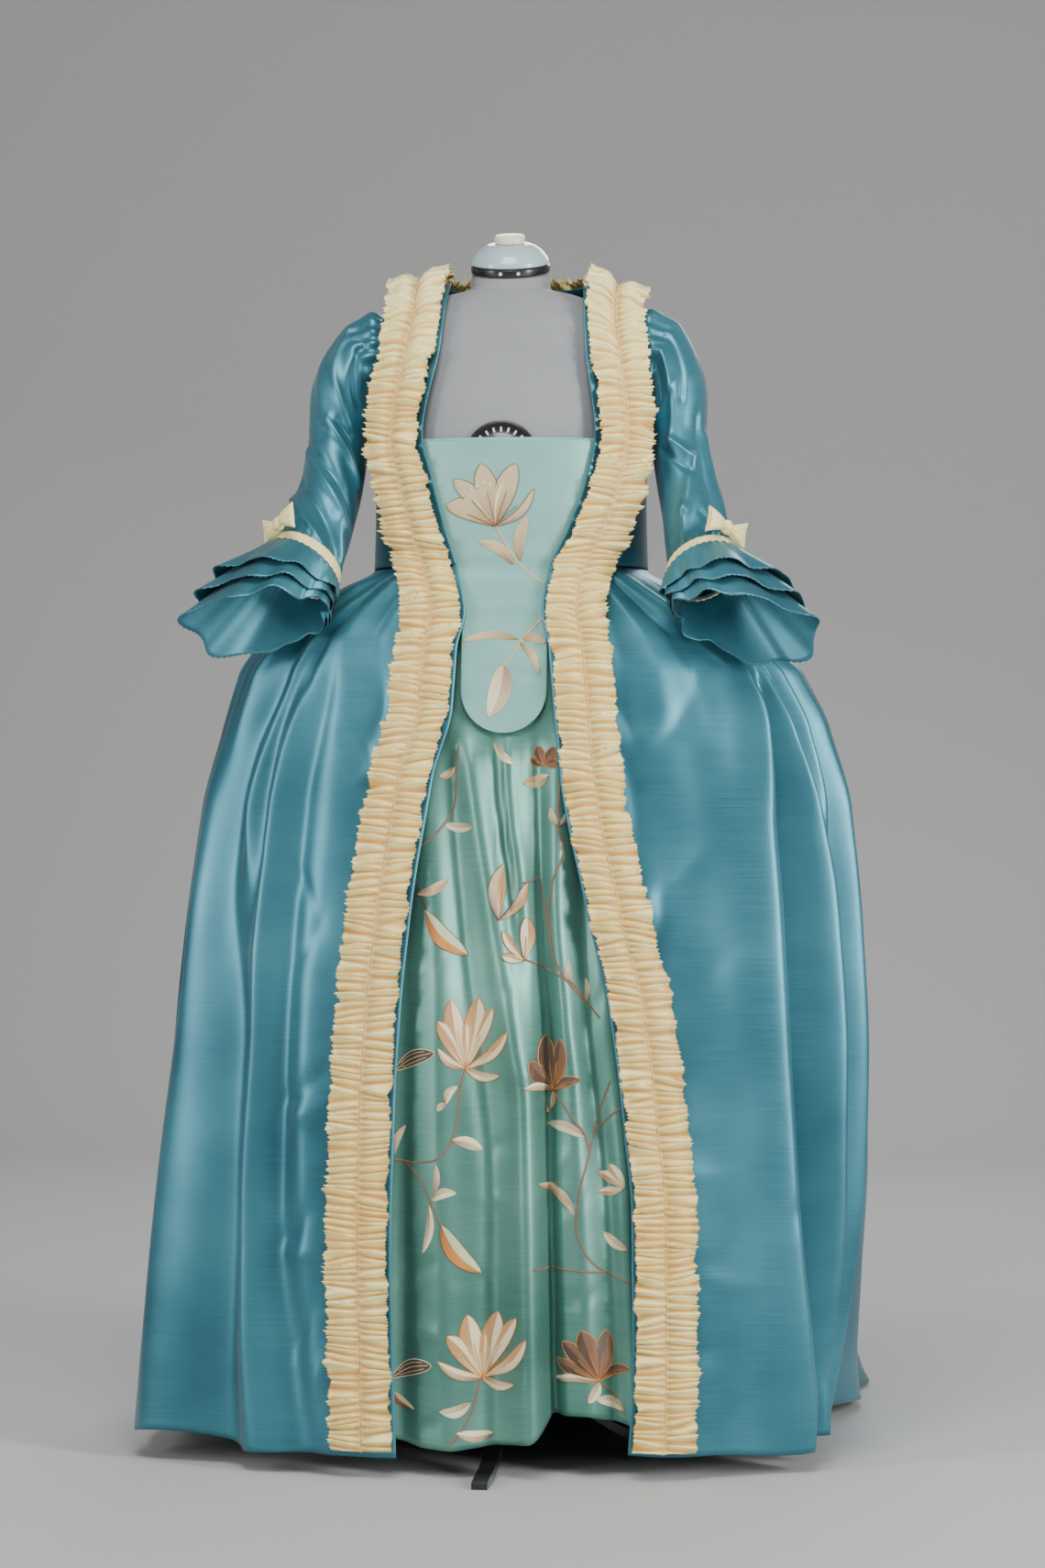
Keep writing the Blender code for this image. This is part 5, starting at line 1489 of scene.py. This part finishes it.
def build_stomacher():
    point_rows = 0.884 + 0.052 * (1.0 - np.sin(even(0.0, 1.0, 22)[1:] * math.pi / 2))
    heights = np.concatenate([even(1.238, 0.940, 70), point_rows])
    half = stomacher_half(heights)[:, None]
    x = 0.004 + half * even(-1.0, 1.0, 60)[None, :]
    z = heights[:, None] + 0.0 * x
    panel = cloth("stomacher_panel", stomacher_surface(station_for(smooth_front, x, z), z), SATIN, 0.0016)
    settle(panel, "stomacher_satin", "stomacher")
    edge = even(-0.985, 0.985, 90)
    top = np.full(90, 1.2355)
    line = stomacher_surface(station_for(smooth_front, 0.004 + 0.114 * edge, top), top)
    seam = sew("stomacher_top_stitches", line - [0.0, 0.0004, 0.0], 0.0032, 0.0018, 0.0002)
    seam.data.materials.clear()
    seam.data.materials.append(SATIN)
    settle(seam, "stomacher_satin")


build_stomacher()


# ---------------------------------------------------------------- embroidery
# Lilies, leaves and winding stems in satin stitch, in cream, tan, brown and orange silk thread,
# worked on the stomacher and over the petticoat. Each is a low raised shape laid on the cloth.
def stitched_material(name, root, tip):
    """Silk thread: it shades from root to tip, and lies in fine slanting stitches."""
    made, shader = plain_material(name, tip, 0.42)
    shader.inputs["Sheen Weight"].default_value = 0.3
    nodes = Nodes(made.node_tree)
    shade = nodes.add("ShaderNodeUVMap", uv_map="shade")
    split = nodes.add("ShaderNodeSeparateXYZ")
    nodes.join(shade.outputs[0], split.inputs[0])
    place = nodes.add("ShaderNodeUVMap", uv_map="cloth")
    noise = nodes.add("ShaderNodeTexNoise")
    noise.inputs["Scale"].default_value = 420.0
    nodes.join(place.outputs[0], noise.inputs["Vector"])
    blur = nodes.add("ShaderNodeMath", operation="MULTIPLY_ADD")
    nodes.join(noise.outputs["Fac"], blur.inputs[0])
    blur.inputs[1].default_value = 0.5
    nodes.join(split.outputs[0], blur.inputs[2])
    ramp = nodes.add("ShaderNodeValToRGB")
    ramp.color_ramp.elements[0].position = 0.30
    ramp.color_ramp.elements[0].color = (*root, 1.0)
    ramp.color_ramp.elements[1].position = 0.85
    ramp.color_ramp.elements[1].color = (*tip, 1.0)
    nodes.join(blur.outputs[0], ramp.inputs[0])
    nodes.join(ramp.outputs[0], shader.inputs["Base Color"])
    waves = nodes.add("ShaderNodeTexWave", wave_type="BANDS", bands_direction="DIAGONAL")
    waves.inputs["Scale"].default_value = 260.0
    waves.inputs["Distortion"].default_value = 1.2
    nodes.join(place.outputs[0], waves.inputs["Vector"])
    raised = nodes.add("ShaderNodeBump")
    raised.inputs["Strength"].default_value = 0.7
    raised.inputs["Distance"].default_value = 0.0004
    nodes.join(waves.outputs["Fac"], raised.inputs["Height"])
    nodes.join(raised.outputs[0], shader.inputs["Normal"])
    return made


THREADS = {
    "cream": stitched_material("thread_cream", display(224, 204, 150), display(242, 232, 190)),
    "blush": stitched_material("thread_blush", display(240, 218, 164), display(204, 152, 98)),
    "tan": stitched_material("thread_tan", display(150, 124, 96), display(206, 186, 150)),
    "brown": stitched_material("thread_brown", display(150, 92, 40), display(120, 88, 62)),
    "dark": stitched_material("thread_dark", display(96, 68, 48), display(84, 62, 46)),
    "orange": stitched_material("thread_orange", display(176, 96, 26), display(214, 140, 58)),
    "green": stitched_material("thread_green", display(176, 196, 150), display(206, 216, 170)),
    "stem": stitched_material("thread_stem", display(112, 84, 60), display(132, 100, 74)),
    "gold": stitched_material("thread_gold", display(176, 140, 92), display(216, 192, 146)),
}


class Needlework:
    """Shapes drawn flat as sideways place and height, gathered by thread colour."""

    def __init__(self):
        self.work = {}

    def patch(self, thread, across, up, lift, uv, shade):
        """Add a grid of points, given as arrays of its rows."""
        held = self.work.setdefault(thread, {"points": [], "lift": [], "uv": [], "shade": [], "faces": []})
        start = len(held["points"])
        rows, columns = across.shape
        held["points"] += np.stack([across, up], -1).reshape(-1, 2).tolist()
        held["lift"] += lift.ravel().tolist()
        held["uv"] += uv.reshape(-1, 2).tolist()
        held["shade"] += shade.reshape(-1, 2).tolist()
        held["faces"] += (grid_faces(rows, columns) + start).tolist()

    def leaf(self, root, tip, width, thread, bend=0.0, other=None, full=0.5, veins=None, outline=None):
        """A leaf or petal from root to tip: bend bows its midrib, full says where it is widest."""
        root, tip = np.array(root), np.array(tip)
        way = tip - root
        length = np.linalg.norm(way)
        side = np.array([-way[1], way[0]]) / length
        t = even(0.0, 1.0, 17)[:, None]
        peak = full / (1.0 - full)
        half = (t ** peak * (1.0 - t)) ** 0.72
        half = width / 2.0 * half / half.max()
        bow = bend * length * np.sin(math.pi * t)
        for thread_name, low, high in ((thread, -1.0, 0.0), (other or thread, 0.0, 1.0)):
            v = even(low, high, 4)[None, :]
            beside = bow + half * v
            across = root[0] + way[0] * t + side[0] * beside
            up = root[1] + way[1] * t + side[1] * beside
            lift = 0.0005 + 0.0009 * (1.0 - v ** 2) + 0.0 * t
            uv = np.stack([t * length + 0.0 * v, half * v], -1)
            shade = np.stack([t + 0.0 * v, v + 0.0 * t], -1)
            self.patch(thread_name, across, up, lift, uv, shade)
        line = np.column_stack([root[0] + way[0] * t[:, 0] + side[0] * bow[:, 0],
                                root[1] + way[1] * t[:, 0] + side[1] * bow[:, 0]])
        if veins:
            self.stem(line[1:-1], veins, 0.0009, 0.0012)
            for part in (-0.55, 0.55):
                vein = line + side[None, :] * (half * part)
                self.stem(vein[3:-3], veins, 0.0007, 0.0010)
        if outline:
            for part in (-1.0, 1.0):
                self.stem(line + side[None, :] * (half * part), outline, 0.0011, 0.0004)

    def stem(self, points, thread="stem", width=0.0026, lift=0.0002):
        """A corded line through points."""
        points = np.array(points, float)
        reach = np.concatenate([[0.0], np.cumsum(np.linalg.norm(np.diff(points, axis=0), axis=1))])
        fine = np.linspace(0.0, reach[-1], max(int(reach[-1] / 0.004), 6))
        if len(points) > 2 and len(points) < 14:
            table = np.column_stack([reach, points])
            line = np.stack(list(table_at(table, fine)), -1)
        else:
            line = np.stack([np.interp(fine, reach, points[:, k]) for k in (0, 1)], -1)
        along = np.gradient(line, axis=0)
        along /= np.linalg.norm(along, axis=1, keepdims=True)
        side = np.stack([-along[:, 1], along[:, 0]], -1)
        v = even(-1.0, 1.0, 4)[None, :]
        across = line[:, :1] + side[:, :1] * v * width / 2.0
        up = line[:, 1:] + side[:, 1:] * v * width / 2.0
        tall = lift + 0.0007 * (1.0 - v ** 2) + 0.0 * across
        uv = np.stack([fine[:, None] + 0.0 * v, v * width / 2.0 + 0.0 * fine[:, None]], -1)
        shade = np.stack([0.5 + 0.0 * across, v + 0.0 * across], -1)
        self.patch(thread, across, up, tall, uv, shade)

    def finish(self, name, surface, slot):
        pieces = []
        for thread, held in self.work.items():
            flat = np.array(held["points"])
            points = on_surface(surface, flat[:, 0], flat[:, 1], np.array(held["lift"]))
            body = mesh_from(f"{name}_{thread}", points, held["faces"], THREADS[thread], held["uv"])
            corners = np.zeros(len(body.data.loops), int)
            body.data.loops.foreach_get("vertex_index", corners)
            layer = body.data.uv_layers.new(name="shade")
            layer.data.foreach_set("uv", np.array(held["shade"])[corners].ravel())
            work = bmesh.new()
            work.from_mesh(body.data)
            for face in work.faces:
                if face.normal.y > 0.0:
                    face.normal_flip()
            work.to_mesh(body.data)
            work.free()
            pieces.append(settle(body, slot))
        return pieces


def lily(work, base, petals, thread, other, outline, sepals=()):
    """A lily from its base: each petal by its tip and width, then the leaves under it."""
    for tip, width, bend in petals:
        work.leaf(base, tip, width, thread, bend, other, 0.58, None, outline)
        middle = np.array(base) + (np.array(tip) - np.array(base)) * 0.55
        work.stem([base, (middle + base) / 2.0, middle], outline, 0.0009, 0.0013)
    for tip, width, bend in sepals:
        work.leaf(base, tip, width, "cream", bend, "tan", 0.5, None, outline)


def stomacher_needlework():
    work = Needlework()
    work.stem([(-0.007, 1.132), (0.009, 1.103), (0.030, 1.079), (0.052, 1.063)], "gold")
    work.leaf((0.022, 1.090), (0.033, 1.144), 0.015, "tan", 0.10, "gold")
    work.leaf((0.015, 1.086), (-0.028, 1.113), 0.014, "gold", -0.12, "tan")
    base = (-0.007, 1.131)
    petals = (((0.040, 1.176), 0.010, -0.14), ((0.018, 1.206), 0.026, 0.03), ((-0.058, 1.188), 0.022, -0.06),
              ((-0.067, 1.158), 0.026, -0.10), ((-0.024, 1.206), 0.028, 0.0))
    lily(work, base, petals, "tan", "gold", "brown")
    work.leaf((-0.007, 1.133), (0.004, 1.186), 0.012, "gold", 0.05, "cream")
    work.leaf((-0.012, 1.135), (-0.040, 1.170), 0.012, "cream", -0.05, "gold")
    for x, z in ((-0.030, 1.178), (-0.022, 1.182), (-0.014, 1.180), (-0.037, 1.174)):
        work.stem([(x, z), (x + 0.003, z + 0.003)], "cream", 0.0030, 0.0016)
    work.stem([(0.054, 1.026), (0.026, 0.997), (0.004, 0.965)], "gold")
    work.leaf((0.021, 0.996), (-0.048, 0.994), 0.010, "tan", -0.10, "gold")
    work.leaf((0.026, 0.997), (0.054, 0.992), 0.012, "gold", 0.14, "tan")
    work.leaf((0.023, 0.993), (0.046, 0.954), 0.010, "tan", 0.10, "gold")
    work.leaf((0.004, 0.966), (-0.013, 0.902), 0.027, "cream", 0.06, "tan", 0.46)
    return work.finish("stomacher_embroidery", stomacher_surface, "stomacher_satin")


def petticoat_needlework():
    work = Needlework()
    # stems
    work.stem([(-0.050, 0.868), (-0.054, 0.800), (-0.071, 0.768), (-0.094, 0.748)])
    work.stem([(0.074, 0.836), (0.071, 0.774), (0.078, 0.744), (0.065, 0.704), (0.060, 0.667),
               (0.065, 0.622), (0.079, 0.595), (0.122, 0.544)])
    work.stem([(0.030, 0.704), (0.048, 0.709), (0.055, 0.677), (0.060, 0.650)])
    work.stem([(0.034, 0.613), (0.063, 0.600), (0.090, 0.585), (0.104, 0.562)])
    work.stem([(-0.038, 0.484), (-0.044, 0.455), (-0.046, 0.427), (-0.055, 0.395), (-0.076, 0.375),
               (-0.099, 0.372), (-0.128, 0.376)])
    work.stem([(-0.112, 0.374), (-0.089, 0.350), (-0.076, 0.323), (-0.064, 0.300)])
    work.stem([(0.134, 0.470), (0.115, 0.413), (0.108, 0.377), (0.098, 0.332), (0.095, 0.300),
               (0.106, 0.268), (0.129, 0.245), (0.162, 0.231)])
    work.stem([(0.067, 0.459), (0.088, 0.430), (0.106, 0.404), (0.110, 0.386)])
    work.stem([(0.046, 0.250), (0.088, 0.248), (0.129, 0.244)])
    work.stem([(0.118, 0.412), (0.138, 0.432), (0.150, 0.440)])
    work.stem([(-0.018, 0.120), (-0.026, 0.086), (-0.041, 0.056), (-0.056, 0.040)])
    work.stem([(0.122, 0.118), (0.138, 0.101), (0.152, 0.076)])
    work.stem([(-0.096, 0.700), (-0.086, 0.672)], "dark")
    # leaves, top to bottom
    work.leaf((-0.054, 0.842), (-0.074, 0.830), 0.010, "tan", 0.12, "blush")
    work.leaf((-0.030, 0.771), (-0.066, 0.773), 0.012, "tan", 0.06, "cream")
    work.leaf((-0.008, 0.872), (0.019, 0.845), 0.010, "cream", -0.08, "tan")
    work.leaf((0.060, 0.832), (0.028, 0.822), 0.015, "blush", 0.06, "tan")
    work.leaf((0.071, 0.772), (0.062, 0.794), 0.009, "tan", 0.10)
    work.leaf((0.073, 0.772), (0.084, 0.796), 0.008, "tan", -0.10)
    work.leaf((-0.098, 0.690), (-0.060, 0.710), 0.012, "blush", -0.10, "tan")
    work.leaf((-0.086, 0.671), (-0.036, 0.618), 0.021, "orange", -0.10, "green", 0.5, None, "brown")
    work.leaf((0.090, 0.585), (0.084, 0.614), 0.007, "tan", 0.08)
    work.leaf((0.104, 0.562), (0.104, 0.592), 0.007, "tan", -0.08)
    work.leaf((-0.124, 0.480), (-0.074, 0.503), 0.017, "dark", 0.08, None, 0.55, "cream", "cream")
    work.leaf((-0.060, 0.442), (-0.047, 0.464), 0.010, "cream", 0.16, "tan")
    work.leaf((-0.060, 0.444), (-0.070, 0.434), 0.008, "tan", -0.10)
    work.leaf((-0.053, 0.400), (-0.017, 0.388), 0.014, "tan", 0.08, "cream")
    work.leaf((-0.073, 0.336), (-0.071, 0.371), 0.008, "tan", -0.06)
    work.leaf((-0.076, 0.329), (-0.047, 0.338), 0.012, "cream", 0.14, "tan")
    work.leaf((-0.079, 0.323), (-0.087, 0.266), 0.010, "tan", 0.08, "cream")
    work.leaf((-0.064, 0.300), (-0.018, 0.243), 0.022, "orange", -0.10, "green", 0.5, None, "brown")
    work.leaf((0.104, 0.405), (0.058, 0.419), 0.013, "tan", -0.10, "cream")
    work.leaf((0.094, 0.313), (0.050, 0.350), 0.012, "tan", -0.12, "blush")
    work.leaf((0.156, 0.272), (0.126, 0.292), 0.012, "tan", 0.08, "cream")
    work.leaf((-0.124, 0.380), (-0.110, 0.416), 0.009, "tan", 0.10)
    work.leaf((-0.126, 0.116), (-0.076, 0.134), 0.018, "dark", 0.08, None, 0.55, "cream", "cream")
    work.leaf((-0.126, 0.101), (-0.098, 0.080), 0.011, "brown", -0.10, "tan")
    work.leaf((-0.029, 0.091), (-0.066, 0.080), 0.014, "tan", 0.14, "cream")
    work.leaf((-0.003, 0.054), (-0.046, 0.055), 0.014, "cream", 0.08, "tan")
    work.leaf((0.122, 0.117), (0.110, 0.092), 0.012, "tan", 0.08, "cream")
    work.leaf((0.152, 0.082), (0.118, 0.097), 0.013, "tan", -0.08, "cream")
    # flowers
    lily(work, (0.053, 0.845), (((0.044, 0.868), 0.014, 0.05), ((0.066, 0.866), 0.014, -0.05),
                                ((0.036, 0.852), 0.012, 0.0), ((0.070, 0.848), 0.012, 0.0)),
         "brown", "dark", "orange")
    lily(work, (0.002, 0.660), (((0.006, 0.727), 0.019, 0.08), ((0.034, 0.704), 0.012, -0.12)),
         "blush", "tan", "brown")
    lily(work, (0.032, 0.612), (((0.006, 0.648), 0.010, 0.06), ((0.034, 0.664), 0.017, -0.04),
                                ((0.006, 0.618), 0.012, 0.0)), "blush", "cream", "brown")
    lily(work, (-0.038, 0.484), (((-0.070, 0.540), 0.020, -0.04), ((-0.056, 0.566), 0.022, 0.03),
                                 ((-0.004, 0.556), 0.018, 0.03), ((0.014, 0.528), 0.013, -0.10),
                                 ((-0.022, 0.568), 0.026, -0.02), ((-0.038, 0.538), 0.015, 0.0)),
         "cream", "blush", "orange",
         (((-0.070, 0.508), 0.010, 0.12), ((0.004, 0.476), 0.011, -0.14)))
    lily(work, (0.067, 0.459), (((0.040, 0.494), 0.017, 0.05), ((0.076, 0.520), 0.018, -0.03),
                                ((0.056, 0.524), 0.020, 0.03), ((0.099, 0.472), 0.012, 0.12)),
         "brown", "dark", "orange", (((0.034, 0.462), 0.010, -0.12), ((0.058, 0.432), 0.008, 0.10)))
    lily(work, (0.152, 0.346), (((0.120, 0.362), 0.012, -0.05), ((0.134, 0.372), 0.014, 0.0),
                                ((0.120, 0.340), 0.010, 0.08)), "cream", "blush", "tan")
    lily(work, (-0.017, 0.120), (((-0.057, 0.170), 0.022, -0.04), ((-0.034, 0.194), 0.026, 0.03),
                                 ((0.026, 0.193), 0.018, 0.02), ((0.038, 0.168), 0.015, -0.12),
                                 ((0.003, 0.198), 0.026, 0.0), ((-0.014, 0.172), 0.018, 0.0)),
         "cream", "blush", "orange",
         (((-0.068, 0.139), 0.012, 0.10), ((0.023, 0.114), 0.011, -0.16)))
    lily(work, (0.122, 0.118), (((0.079, 0.164), 0.020, -0.03), ((0.130, 0.177), 0.021, -0.03),
                                ((0.102, 0.178), 0.026, 0.02), ((0.070, 0.142), 0.016, 0.0),
                                ((0.158, 0.132), 0.012, 0.12)),
         "brown", "dark", "orange", (((0.068, 0.118), 0.010, -0.08),))
    return work.finish("petticoat_embroidery", petticoat_surface, "petticoat_taffeta")


stomacher_needlework()
petticoat_needlework()
